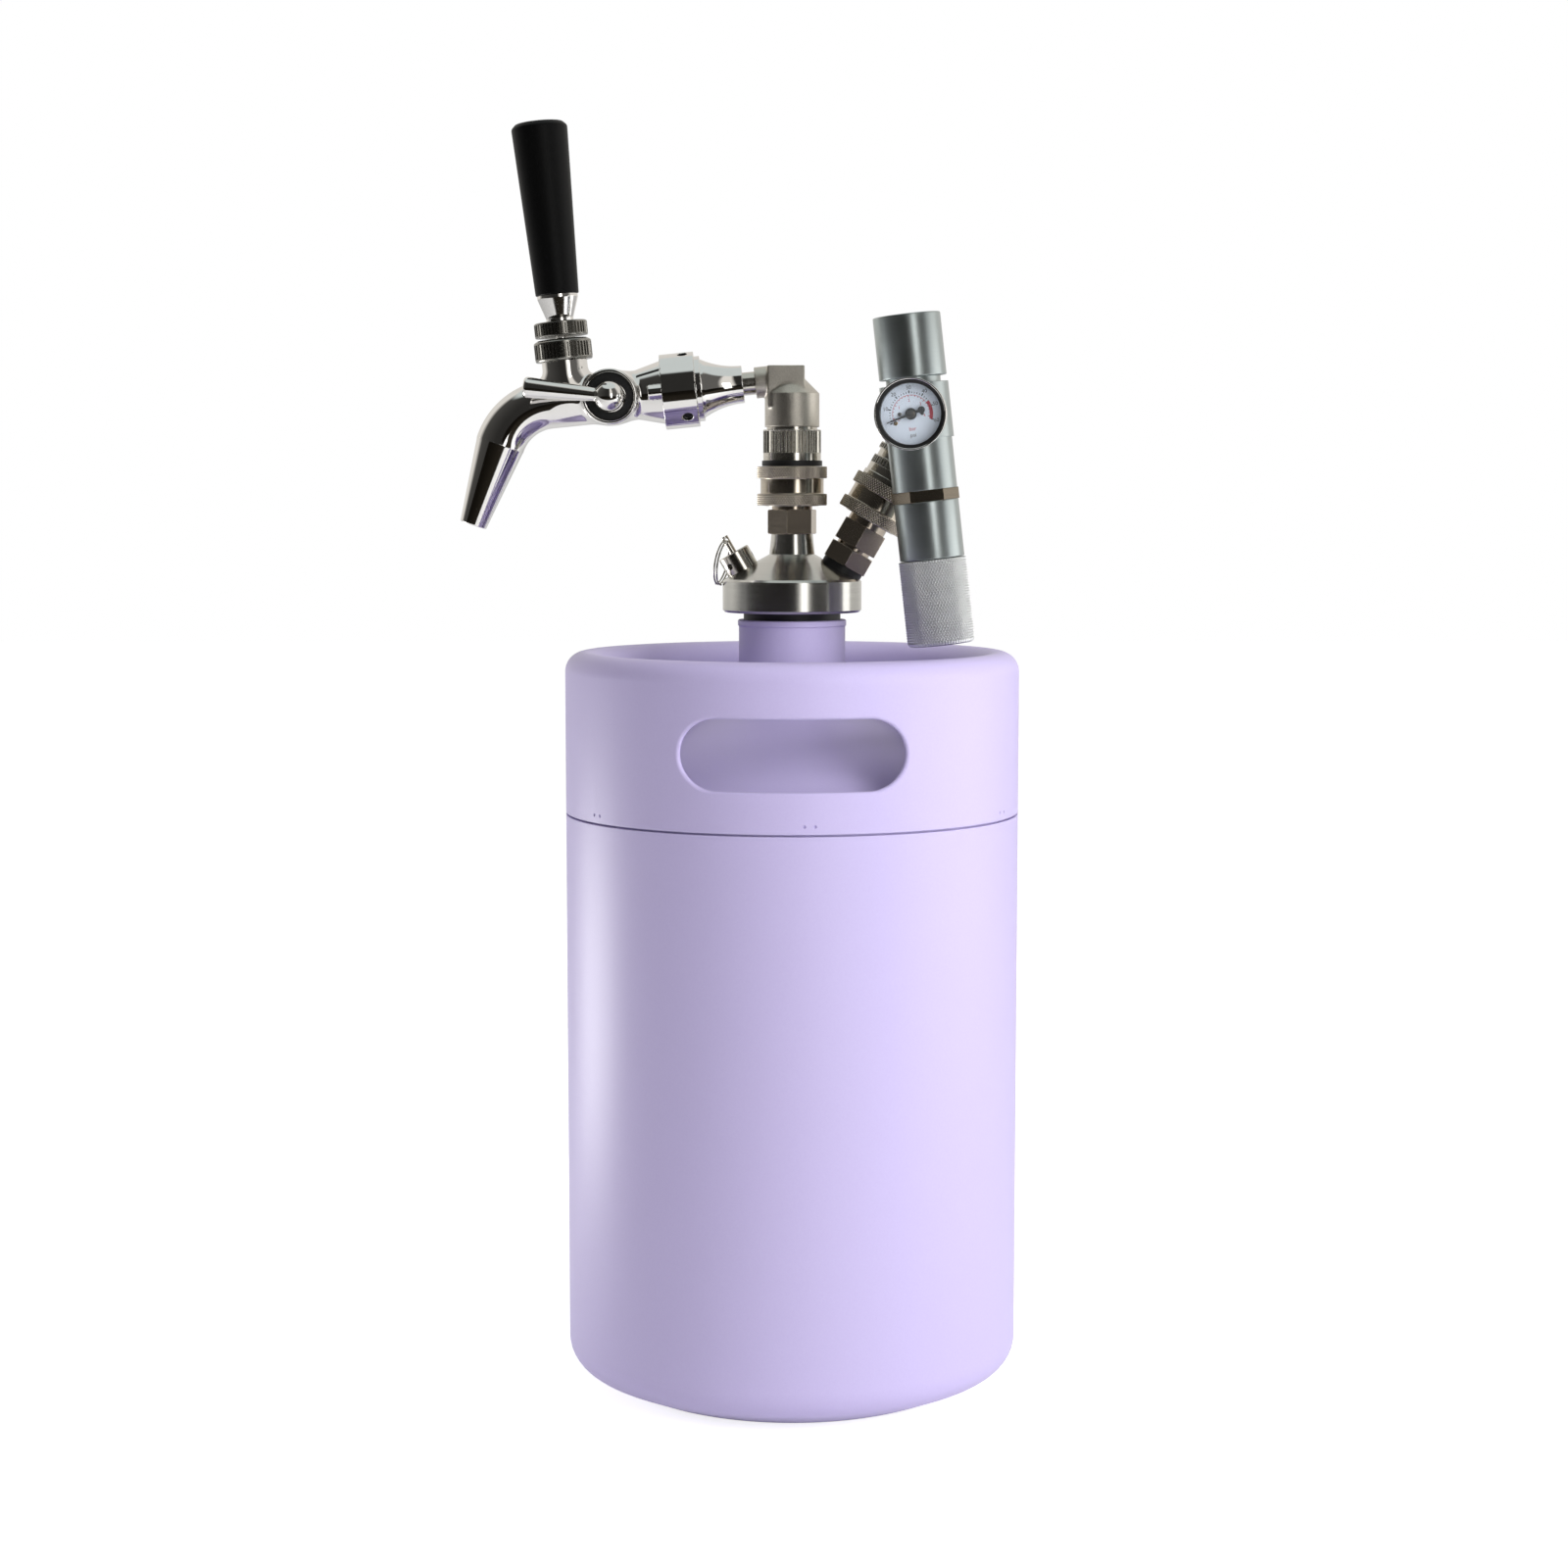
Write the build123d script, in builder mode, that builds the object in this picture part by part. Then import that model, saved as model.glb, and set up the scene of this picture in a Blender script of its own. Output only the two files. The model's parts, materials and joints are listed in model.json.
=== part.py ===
from build123d import *
import os
from math import cos, pi, radians, sin, sqrt, tan

# Insulated mini keg with a swivelling tap and a cartridge regulator, in millimetres.
# The origin is the centre of the base, +Z is up, the tap points to -X and the gauge to -Y.

# Fits
running_gap = 0.08
seat_gap = 0.3
weld_gap = 0.05
cut_overrun = 1.0

# Keg shells
keg_diameter = 180
seam_height = 230.3
seam_gap = 0.8
shell_wall = 1.2
base_edge_radius = 12
base_edge_rise = 10.5
base_foot_diameter = 132
base_foot_radius = 20
base_ring_width = 14
plate_wall = 1.2
plate_lap = 8
plate_dish_rise = 2.8
plate_dish_run = 5
plate_bend_radius = 1.5
collar_height = 63.7
rim_width = 15.6
rim_roll_radius = 7.7
rim_lip = 2.2
collar_wall = 1.7
slot_width = 83.6
slot_height = 26.9
slot_rise = 29.5
slot_edge_radius = 1.2
weld_pairs = 6
weld_turn = 4
weld_mark_radius = 0.6
weld_mark_pitch = 4
weld_mark_rise = 3
dome_wall = 1.2
dome_skirt = 9
dome_edge_rise = 7
dome_edge_radius = 5
dome_rise = 41.7
dome_neck_land = 5
dome_neck_radius = 8
vessel_gap = 4.2
vessel_wall = 0.8
vessel_floor_height = 10.2
vessel_edge_radius = 22
vessel_shoulder_drop = 4.3
vessel_shoulder_radius = 26
vessel_neck_drop = 15
vessel_neck_land = 5
vessel_spigot_rise = 8
vessel_bend_radius = 1.5
neck_diameter = 42.2
neck_wall = 1.65
neck_foot_gap = 3.5
neck_bead = 0.4
neck_bead_height = 2.6
neck_rise = 34.5
neck_thread_diameter = 33.2
neck_thread_length = 18
neck_run_out = 3

# Cap
gasket_diameter = 38.4
gasket_height = 3
cap_diameter = 55
cap_rim_height = 13.1
cap_edge = 0.9
cap_cone_rise = 9.7
cap_spigot_length = 17.5
cap_well_diameter = 25
cap_well_height = 22
boss_base_diameter = 18
boss_top_diameter = 16.4
boss_height = 8
boss_bore_diameter = 12
boss_bore_depth = 10.3
dip_hole_diameter = 8.4
dip_tube_diameter = 6
dip_tube_wall = 0.6
dip_tube_clearance = 7
dip_flange_height = 1.6
port_reach = 19.6
port_tilt = 30
port_sink = 1
port_thread_diameter = 8
port_thread_depth = 8
port_hole_diameter = 5
port_hole_depth = 16

# Ball lock posts, disconnects and their collars
post_hex = 17.5
post_hex_edge = 0.7
post_diameter = 16
post_rise = 13
post_stub_length = 8.3
post_bore_diameter = 9.2
post_bore_depth = 16
post_hole_diameter = 6
post_oring_height = 10
post_oring_section = 1.2
post_oring_depth = 0.8
liquid_hex_height = 9.6
liquid_hex_gap = 1.6
liquid_hex_turn = 18
gas_hex_height = 9
gas_hex_gap = 2.9
poppet_head_height = 2
poppet_lift = 7
poppet_stem_diameter = 3.2
poppet_gap = 0.4
poppet_wire = 0.8
poppet_turns = 4
lock_height = 5.3
lock_ball_diameter = 3
lock_ball_orbit = 17.8
lock_balls = 6
lock_groove_depth = 1
lock_groove_height = 3.6
collar_length = 15.3
collar_diameter = 27.8
collar_groove_diameter = 25
collar_band_height = 4.6
collar_groove_height = 6.1
collar_ledge_height = 7.4
collar_ledge_wall = 2.1
collar_spring_height = 2.5
collar_spring_diameter = 23.2
collar_mouth_diameter = 24.5
collar_spring_wire = 0.9
collar_spring_turns = 3
sleeve_diameter = 21.2
sleeve_drop = 0.3
sleeve_neck_diameter = 18.8
flange_diameter = 22.8
flange_start = 15.5
spline_start = 20.7
spline_height = 9
disconnect_neck_diameter = 20
disconnect_neck_height = 1.1
disconnect_stub_diameter = 14
disconnect_stub_length = 9
disconnect_bore_diameter = 6.4
plug_height = 2
plug_gap = 1.5
probe_diameter = 2.4
plug_hole_diameter = 1.6
plug_hole_orbit = 4.6
plug_holes = 3
gas_waist_diameter = 21
gas_waist_start = 24.2
gas_waist_height = 2.9
stop_ring_height = 2.1
stop_ring_wall = 0.5

# Liquid elbow and the chain to the faucet, along the tap axis
elbow_diameter = 21.5
elbow_barrel_height = 13.1
elbow_outlet_rise = 5.6
elbow_crown_diameter = 11
elbow_block_width = 14.6
elbow_block_shift = 2.4
elbow_block_rise = 5.2
elbow_bore_diameter = 6.4
outlet_nut_diameter = 12.2
outlet_start = 8.5
outlet_end = 14.6
tap_droop = 5.8
tail_diameter = 9
tail_bore_diameter = 5.6
tail_end = 24.5
adapter_start = 19.4
adapter_small_diameter = 14.6
adapter_waist_diameter = 17.6
adapter_wide_diameter = 23
nut_start = 35.6
nut_lip = 2.6
nut_step_diameter = 25.5
nut_step_length = 2.2
nut_diameter = 29.4
nut_end = 51.2
nut_edge = 0.8
adapter_flange_diameter = 24.6
adapter_end = 41
washer_height = 0.8
spanner_hole_diameter = 4
spanner_hole_depth = 1.6
spanner_hole_place = 42
spanner_holes = 3
spanner_hole_turn = 18

# Faucet
faucet_cone_diameter = 24.8
faucet_cone_end = 61.5
faucet_diameter = 19.3
faucet_bore_diameter = 13
bend_start = 95.8
bend_radius = 23.5
bend_angle = 65
bend_bore_diameter = 11.2
peg_diameter = 5.8
peg_length = 5.4
peg_offset = 11.4
spout_length = 33.7
spout_diameter = 19
spout_tip_diameter = 10.6
spout_bore_diameter = 8.8
spout_bore_length = 10
stem_place = 88.45
stem_neck_diameter = 17.9
stem_neck_top = 16.2
stem_thread_diameter = 16
stem_thread_top = 18.5
stem_bore_diameter = 14
stem_bore_floor = 9.9
bonnet_diameter = 22.6
bonnet_top = 23.9
bonnet_cavity_diameter = 18
bonnet_dome_wall = 1.8
bonnet_slot_gap = 0.4
lever_pivot = 8
lever_ball_diameter = 6.6
lever_diameter = 5
lever_arm_diameter = 3.6
lever_arm_drop = 8.5
lever_top = 51.7
handle_throw = 20
lock_nut_diameter = 20.9
lock_nut_start = 25.4
lock_nut_end = 31.4
ferrule_small_diameter = 10.7
ferrule_land = 1.2
ferrule_wide_diameter = 16
ferrule_end = 42
handle_base_diameter = 17
handle_top_diameter = 22
handle_end = 109.3
handle_round = 2.4
handle_crown = 0.6
shaft_diameter = 8.4
shaft_start = 78
shaft_guide_height = 2.5
shaft_head_height = 1.2
shaft_seat_gap = 0.5
shaft_slot_length = 8.2
shaft_slot_width = 4.4
shaft_slot_depth = 3.2
hub_place = 71.5
hub_diameter = 21.8
hub_height = 14.2
hub_floor = 10
hub_bore_diameter = 18.2
hub_ring_height = 3
flow_ball_diameter = 11.8
flow_ball_place = 17.8
flow_spindle_diameter = 6
flow_spindle_start = 7
flow_lever_rise = 11.8
flow_lever_length = 33.4
flow_lever_small_diameter = 4.7
flow_lever_large_diameter = 8.2

# Relief valve
prv_diameter = 13
prv_height = 7.5
prv_edge = 0.4
prv_seat_diameter = 13.8
prv_chamber_diameter = 6.8
prv_chamber_low = 3
prv_chamber_high = 5
prv_outlet_diameter = 3.8
prv_vent_diameter = 2.3
prv_vent_height = 3.2
prv_vents = 3
prv_vent_turn = 145
prv_stem_diameter = 2.9
prv_stem_rise = 7.2
prv_stem_collar_diameter = 6
prv_stem_collar_height = 1
prv_spring_wire = 0.7
prv_spring_turns = 4
prv_eye_drop = 1.9
prv_eye_diameter = 2.2
ring_diameter = 18.2
ring_wire = 0.7
ring_pitch = 1.12
ring_turns = 2
ring_tilt = 11
ring_turn = 17

# Gas side, along the tilted port axis
gas_oring_diameter = 16.8
gas_oring_height = 2.7
gas_oring_neck_diameter = 10.8
gas_seat_diameter = 18.6
adapter_hex = 17.7
adapter_hex_height = 7.1
adapter_bore_diameter = 4.4
adapter_spigot_diameter = 14
adapter_spigot_length = 4
adapter_spigot_gap = 1.2
gas_elbow_outlet = 5.8
gas_elbow_rise = 7.6
gas_branch_diameter = 11.2

# Cartridge regulator, along its own axis from the gas port
regulator_offset = 30
regulator_tilt = 6.39
regulator_tube_diameter = 25
regulator_block_diameter = 26.6
regulator_neck_diameter = 21
regulator_foot = 19.8
regulator_shoulder = 0.4
regulator_block_end = 20.8
regulator_neck_end = 23.3
regulator_bore_diameter = 20.5
regulator_chamber_diameter = 16
regulator_chamber_depth = 5.5
regulator_passage_diameter = 3
gas_port_boss_diameter = 14
gas_port_face = 13.5
gas_port_depth = 6
gas_nipple_diameter = 9
socket_diameter = 26
socket_end = 47.3
socket_spigot_diameter = 14
socket_spigot_length = 6.6
socket_thread_diameter = 9.52
socket_seat = 31.5
socket_relief_diameter = 10.6
socket_thread_start = 33.5
socket_mouth_diameter = 16
socket_mouth_depth = 9
pin_base_diameter = 14
pin_base_height = 1.5
pin_diameter = 2
pin_tip_diameter = 0.6
pin_length = 1.9
hex_nut_flats = 22.4
hex_nut_corner_diameter = 25.4
hex_nut_height = 4.4
spring_tube_end = 46.2
spring_tube_wall = 2
spring_tube_floor = 4
diaphragm_thickness = 1
diaphragm_place = 10.5
regulator_spring_wire = 1.8
regulator_spring_diameter = 15
regulator_spring_turns = 6
spring_plate_height = 4
spring_plate_gap = 1.5
knob_diameter = 26.2
knob_end = 79.5
knob_edge_radius = 1.4
knob_spindle_diameter = 8
knob_spindle_end = 30

# Pressure gauge, on its own axis from the regulator
gauge_height = 9.2
gauge_reach = 27
gauge_turn = 8
gauge_bezel_diameter = 27.2
gauge_bezel_lip = 0.8
gauge_bezel_depth = 3.5
gauge_bezel_edge = 0.5
gauge_window_diameter = 24.4
gauge_case_diameter = 26.2
gauge_case_depth = 10
gauge_case_wall = 0.7
gauge_case_floor = 2
gauge_stem_diameter = 10
gauge_stem_length = 7
gauge_lens_thickness = 1
gauge_dial_depth = 4.4
gauge_dial_thickness = 0.6
gauge_dial_hole_diameter = 1.8
gauge_dial_lap = 1.5
bourdon_orbit = 15
bourdon_tube_diameter = 2.2
bourdon_sweep = 250
needle_hub_diameter = 3.8
needle_thickness = 0.8
needle_lift = 0.5
needle_reach = 9.6
needle_tail = 4.6
needle_weight_diameter = 2.4
needle_width = 0.9
needle_tip_width = 0.3
needle_spindle_diameter = 1.2
needle_spindle_length = 2
needle_rest_turn = 195

# Derived places on the keg and the cap
keg_radius = keg_diameter / 2
keg_height = seam_height + collar_height
shell_top = seam_height - seam_gap / 2
collar_bottom = seam_height + seam_gap / 2
base_foot = base_foot_diameter / 2
base_ring_inner = base_foot - base_ring_width
slot_centre_height = seam_height + slot_rise
dome_radius = keg_radius - max(shell_wall, collar_wall) - weld_gap
dome_neck_height = seam_height + dome_rise
vessel_radius = keg_radius - shell_wall - vessel_gap
vessel_shoulder_height = seam_height - vessel_shoulder_drop
vessel_neck_height = dome_neck_height - vessel_neck_drop
neck_top_height = dome_neck_height + neck_rise
neck_radius = neck_diameter / 2
neck_inner = neck_radius - neck_wall
cap_bottom = neck_top_height + gasket_height
cap_rim_top = cap_bottom + cap_rim_height
cap_cone_top = cap_rim_top + cap_cone_rise
boss_top = cap_cone_top + boss_height
cap_spigot_radius = neck_thread_diameter / 2 - seat_gap
cap_spigot_low = cap_bottom - cap_spigot_length
cap_cone_radius = cap_diameter / 2 - cap_edge
cone_slope = cap_cone_rise / (cap_cone_radius - boss_base_diameter / 2)
port_height = cap_rim_top + (cap_cone_radius - port_reach) * cone_slope
outlet_height = (boss_top + liquid_hex_height + liquid_hex_gap + spline_start + spline_height
                 + disconnect_neck_height + elbow_barrel_height + elbow_outlet_rise)

# Frames: each has its Z along the axis of the pieces that are turned about it
port_tilt_angle = radians(port_tilt)
gas_heading = Vector(sin(port_tilt_angle), 0, cos(port_tilt_angle))
prv_heading = Vector(-sin(port_tilt_angle), 0, cos(port_tilt_angle))
gas_port = Plane(origin=(port_reach, 0, port_height), x_dir=(0, -1, 0), z_dir=gas_heading)
prv_port = Plane(origin=(-port_reach, 0, port_height), x_dir=(0, 1, 0), z_dir=prv_heading)
liquid_lock = Plane.XY.offset(boss_top + liquid_hex_height + liquid_hex_gap)
gas_post_base = gas_oring_height - port_sink + adapter_hex_height + adapter_spigot_gap
gas_lock = gas_port.offset(gas_post_base + gas_hex_height + gas_hex_gap)
elbow_base = spline_start + spline_height + disconnect_neck_height

droop_angle = radians(tap_droop)
tap_heading = Vector(-cos(droop_angle), 0, -sin(droop_angle))
tap_upright = Vector(-sin(droop_angle), 0, cos(droop_angle))
tap = Plane(origin=(0, 0, outlet_height), x_dir=tap_upright, z_dir=tap_heading)
stem = Plane(origin=tap.origin + tap_heading * stem_place, x_dir=tap_heading, z_dir=tap_upright)
hub = Plane(origin=tap.origin + tap_heading * hub_place, x_dir=tap_heading, z_dir=(0, -1, 0))
bend_centre = tap.origin + tap_heading * bend_start - tap_upright * bend_radius
bend_turn = radians(bend_angle)
spout_heading = tap_heading * cos(bend_turn) - tap_upright * sin(bend_turn)
spout_start = bend_centre + (tap_upright * cos(bend_turn) + tap_heading * sin(bend_turn)) * bend_radius
spout = Plane(origin=spout_start, x_dir=(0, 1, 0), z_dir=spout_heading)
flow_turn = radians(flow_lever_rise)
flow_heading = tap_heading * cos(flow_turn) + tap_upright * sin(flow_turn)
flow_arm = Plane(origin=hub.offset(flow_ball_place).origin, x_dir=(0, -1, 0), z_dir=flow_heading)

ring_hole_height = prv_height + prv_stem_rise - prv_eye_drop
ring_angle = radians(ring_tilt)
ring_turned = radians(ring_turn)
ring_across = Vector(sin(ring_turned), cos(ring_turned), 0)
ring_outward = Vector(-cos(ring_turned), sin(ring_turned), 0)
ring_drop = ring_outward * sin(ring_angle) - Vector(0, 0, cos(ring_angle))
ring_mean_radius = (ring_diameter - ring_wire) / 2
ring_centre = prv_port.offset(ring_hole_height).origin + ring_drop * ring_mean_radius
ring_axis = ring_across.cross(ring_drop)
prv_ring_frame = Plane(origin=ring_centre, x_dir=ring_drop, z_dir=ring_axis)

gas_outlet = gas_lock.offset(elbow_base + gas_elbow_outlet)
gas_branch = Plane(origin=gas_outlet.origin, x_dir=(1, 0, 0), z_dir=(0, -1, 0))
lean_angle = radians(regulator_tilt)
regulator_up = Vector(-sin(lean_angle), 0, cos(lean_angle))
regulator_right = Vector(cos(lean_angle), 0, sin(lean_angle))
regulator_centre = gas_outlet.origin + Vector(0, -regulator_offset, 0)
regulator = Plane(origin=regulator_centre, x_dir=regulator_right, z_dir=regulator_up)
gas_inlet = Plane(origin=regulator_centre, x_dir=(1, 0, 0), z_dir=(0, 1, 0))
gauge_angle = radians(gauge_turn)
gauge_heading = Vector(0, -cos(gauge_angle), 0) - regulator_right * sin(gauge_angle)
gauge_root = Plane(origin=regulator.offset(gauge_height).origin,
                   x_dir=regulator_up.cross(gauge_heading), z_dir=gauge_heading)
gauge = gauge_root.offset(gauge_reach)


# Shapes that repeat
def half_plane(frame):
    """Give the plane whose X is the frame's radius and whose Y runs along the frame's axis."""
    return Plane(origin=frame.origin, x_dir=frame.x_dir, z_dir=-frame.y_dir)


def spin(section, frame, mode):
    """Revolve a finished section about the frame's axis."""
    revolve(section.sketch, axis=Axis(frame.origin, frame.z_dir), mode=mode)


def turn(frame, *outline, mode=Mode.ADD):
    """Turn a straight-sided outline of (radius, height) points about the frame's axis."""
    with BuildSketch(half_plane(frame)) as section:
        with BuildLine():
            Polyline(*outline, close=True)
        make_face()
    spin(section, frame, mode)


def rod(frame, diameter, low, high, mode=Mode.ADD):
    """Turn a plain cylinder, or bore one."""
    radius = diameter / 2
    turn(frame, (0, low), (radius, low), (radius, high), (0, high), mode=mode)


def bore(frame, diameter, low, high):
    """Cut a plain hole along the frame's axis."""
    rod(frame, diameter, low, high, mode=Mode.SUBTRACT)


def pipe(frame, inner, outer, low, high, mode=Mode.ADD):
    """Turn a ring between two diameters."""
    turn(frame, (inner / 2, low), (outer / 2, low), (outer / 2, high), (inner / 2, high), mode=mode)


def sheet(outline, bends, wall):
    """Spin a sheet of even wall about the keg's axis; the outline is its outer side."""
    with BuildSketch(half_plane(Plane.XY)) as section:
        with BuildLine():
            FilletPolyline(*outline, radius=bends)
            offset(amount=wall, side=Side.LEFT)
        make_face()
    spin(section, Plane.XY, Mode.ADD)


def hexagon(frame, flats, low, high, edge, turned=0):
    """Raise a hexagon with turned corners."""
    corner = flats / sqrt(3)
    with BuildSketch(frame.offset(low)) as section:
        RegularPolygon(flats / 2, side_count=6, major_radius=False, rotation=turned)
    extrude(section.sketch, amount=high - low)
    rim = corner - edge
    drop = edge * tan(radians(30))
    turn(frame, (0, low), (rim, low), (corner, low + drop), (corner, high - drop), (rim, high), (0, high),
         mode=Mode.INTERSECT)


def coil(frame, diameter, wire, low, high, turns):
    """Sweep a round wire along a helix laid out as pairs of tangent arcs, and give its path."""
    radius = diameter / 2
    steps = 4 * turns
    climb = (high - low) / turns / (2 * pi)

    def spot(step):
        angle = pi * step / 2
        height = low + (high - low) * step / steps
        return frame.from_local_coords(Vector(radius * cos(angle), radius * sin(angle), height))

    def heading(step):
        angle = pi * step / 2
        local = Vector(-radius * sin(angle), radius * cos(angle), climb).normalized()
        return frame.from_local_coords(local) - frame.origin

    with BuildLine() as path:
        for step in range(steps):
            start, end = spot(step), spot(step + 1)
            leave, arrive = heading(step), heading(step + 1)
            chord = end - start
            along = chord.dot(leave + arrive)
            blunt = 2 * (1 - leave.dot(arrive))
            reach = (sqrt(along ** 2 + blunt * chord.dot(chord)) - along) / blunt
            before, after = start + leave * reach, end - arrive * reach
            middle = (before + after) / 2
            TangentArc(start, middle, tangent=leave)
            TangentArc(middle, end, tangent=after - before)
    with BuildSketch(Plane(spot(0), z_dir=heading(0))) as section:
        Circle(wire / 2)
    sweep(section.sketch, path=path.line)
    report_coil_gap(path.wire(), wire, turns)


def report_coil_gap(line, wire, turns, per_turn=48):
    """Print the least gap between the turns of a coil, measured on points along its wire."""
    count = per_turn * turns
    spots = [line.position_at(index / count) for index in range(count + 1)]
    gaps = []
    for index, spot in enumerate(spots):
        for other in spots[index + per_turn // 2:]:
            gaps.append((other - spot).length - wire)
    print("least gap between the turns of a coil:", round(min(gaps), 3))


def spring(frame, diameter, wire, low, high, turns):
    """Wind a spring between two seats, clear of both by a weld gap."""
    rest = wire / 2 + weld_gap
    coil(frame, diameter, wire, low + rest, high - rest, turns)


def cut_box(frame, length, width, low, high, shift=0):
    """Cut a square-sided slot that is centred on the frame's axis, or shifted along its X."""
    with BuildSketch(frame.offset(low)) as section:
        with Locations((shift, 0)):
            Rectangle(length, width)
    extrude(section.sketch, amount=high - low, mode=Mode.SUBTRACT)


def spokes(frame, count, height, turned=0):
    """Give planes that stand on the frame's axis at one height and face outwards in turn."""
    level = frame.offset(height)
    planes = []
    for index in range(count):
        angle = radians(turned + 360 * index / count)
        outward = level.x_dir * cos(angle) + level.y_dir * sin(angle)
        planes.append(Plane(origin=level.origin, x_dir=level.z_dir, z_dir=outward))
    return planes


def ball_lock_post(lock, hex_height, hex_gap, turned=0):
    """Make the hexagon, barrel, ball groove and bore of a post, below and above the lock frame."""
    hex_high = -hex_gap
    hex_low = hex_high - hex_height
    hexagon(lock, post_hex, hex_low, hex_high, post_hex_edge, turned)
    rod(lock, post_diameter, hex_high, post_rise)
    cut = post_diameter + 2 * cut_overrun
    half = lock_groove_height / 2
    groove = post_diameter - 2 * lock_groove_depth
    pipe(lock, groove, cut, lock_height - half, lock_height + half, mode=Mode.SUBTRACT)
    seal = post_diameter - 2 * post_oring_depth
    pipe(lock, seal, cut, post_oring_height, post_oring_height + post_oring_section, mode=Mode.SUBTRACT)
    bore(lock, post_bore_diameter, post_rise - post_bore_depth, post_rise)


def disconnect(lock):
    """Make the sleeve, flange, splined band and stub of a ball lock disconnect."""
    plug_low = post_rise + plug_gap
    neck_low = spline_start + spline_height
    top = elbow_base + disconnect_stub_length
    rod(lock, sleeve_diameter, -sleeve_drop, collar_ledge_height - seat_gap)
    rod(lock, sleeve_neck_diameter, collar_ledge_height - seat_gap, flange_start)
    rod(lock, flange_diameter, flange_start, neck_low)
    rod(lock, disconnect_neck_diameter, neck_low, elbow_base)
    rod(lock, disconnect_stub_diameter, elbow_base, top)
    bore(lock, post_diameter + 2 * running_gap, -sleeve_drop, plug_low)
    bore(lock, disconnect_bore_diameter, plug_low + plug_height, top)
    for index in range(plug_holes):
        angle = 2 * pi * index / plug_holes
        place = lock.from_local_coords(Vector(cos(angle), sin(angle), 0) * (plug_hole_orbit / 2))
        bore(Plane(place, z_dir=lock.z_dir), plug_hole_diameter, plug_low, plug_low + plug_height)
    rod(lock, probe_diameter, post_rise - poppet_gap + seat_gap, plug_low)
    for spoke in spokes(lock, lock_balls, lock_height):
        bore(spoke, lock_ball_diameter + 4 * weld_gap, post_diameter / 4, sleeve_diameter / 2 + cut_overrun)


def lock_ball_ring(lock):
    """Set the lock balls in the post's groove."""
    for spoke in spokes(lock, lock_balls, lock_height):
        with Locations(spoke.offset(lock_ball_orbit / 2)):
            Sphere(lock_ball_diameter / 2)


def lock_collar(lock):
    """Turn the sliding collar with two bands, a ledge for its spring and a mouth over the stop ring."""
    band = collar_diameter / 2
    waist = collar_groove_diameter / 2
    sleeve = sleeve_diameter / 2 + running_gap
    ledge = sleeve_neck_diameter / 2 + running_gap
    ledge_high = collar_ledge_height + collar_ledge_wall
    spring_high = ledge_high + collar_spring_height
    groove_high = collar_band_height + collar_groove_height
    turn(lock, (sleeve, 0), (band, 0), (band, collar_band_height), (waist, collar_band_height),
         (waist, groove_high), (band, groove_high), (band, collar_length),
         (collar_mouth_diameter / 2, collar_length), (collar_mouth_diameter / 2, spring_high),
         (collar_spring_diameter / 2, spring_high), (collar_spring_diameter / 2, ledge_high),
         (ledge, ledge_high), (ledge, collar_ledge_height), (sleeve, collar_ledge_height))


def collar_spring(lock):
    """Wind the spring between the collar's ledge and the flange above it."""
    mean = (sleeve_neck_diameter + collar_spring_diameter) / 2
    low = collar_ledge_height + collar_ledge_wall
    spring(lock, mean, collar_spring_wire, low, flange_start, collar_spring_turns)


def dome_outline(radius, reach):
    """Give the height above a sphere's centre at a reach from its axis."""
    return sqrt(radius ** 2 - reach ** 2)


# Keg shells
with BuildPart() as outer_shell:
    sheet([(base_ring_inner, 0), (base_foot, 0), (keg_radius, base_edge_rise), (keg_radius, shell_top)],
          [base_foot_radius, base_edge_radius], shell_wall)

with BuildPart() as base_plate:
    lap = base_ring_inner + plate_lap
    dish = base_ring_inner - weld_gap
    sheet([(0, shell_wall + plate_dish_rise), (dish - plate_dish_run, shell_wall + plate_dish_rise),
           (dish, shell_wall), (lap, shell_wall)], plate_bend_radius, plate_wall)

with BuildPart() as top_collar:
    rim_inner = keg_radius - rim_width
    sheet([(keg_radius, collar_bottom), (keg_radius, keg_height), (rim_inner, keg_height),
           (rim_inner, keg_height - rim_roll_radius - rim_lip)], rim_roll_radius, collar_wall)
    with BuildSketch(Plane.XZ):
        with Locations((0, slot_centre_height)):
            SlotOverall(slot_width, slot_height)
    extrude(amount=keg_diameter, both=True, mode=Mode.SUBTRACT)
    slot_reach = slot_height / 2
    slot_edges = top_collar.edges().filter_by(
        lambda edge: abs(edge.center().Z - slot_centre_height) < slot_reach + weld_gap
        and abs(edge.center().X) < slot_width / 2 + weld_gap
        and sqrt(edge.center().X ** 2 + edge.center().Y ** 2) > keg_radius - collar_wall / 2
        and edge.length > slot_reach)
    fillet(slot_edges, slot_edge_radius)
    for pair in range(weld_pairs):
        for side in (-1, 1):
            azimuth = radians(weld_turn - 90 + 360 * pair / weld_pairs)
            azimuth += side * weld_mark_pitch / keg_diameter
            mark = (keg_radius * cos(azimuth), keg_radius * sin(azimuth), collar_bottom + weld_mark_rise)
            with Locations(mark):
                Sphere(weld_mark_radius, mode=Mode.SUBTRACT)

with BuildPart() as shoulder_dome:
    dome_inner = neck_radius + weld_gap
    sheet([(dome_radius, seam_height - dome_skirt), (dome_radius, seam_height + dome_edge_rise),
           (dome_inner + dome_neck_land, dome_neck_height), (dome_inner, dome_neck_height)],
          [dome_edge_radius, dome_neck_radius], dome_wall)

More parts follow.
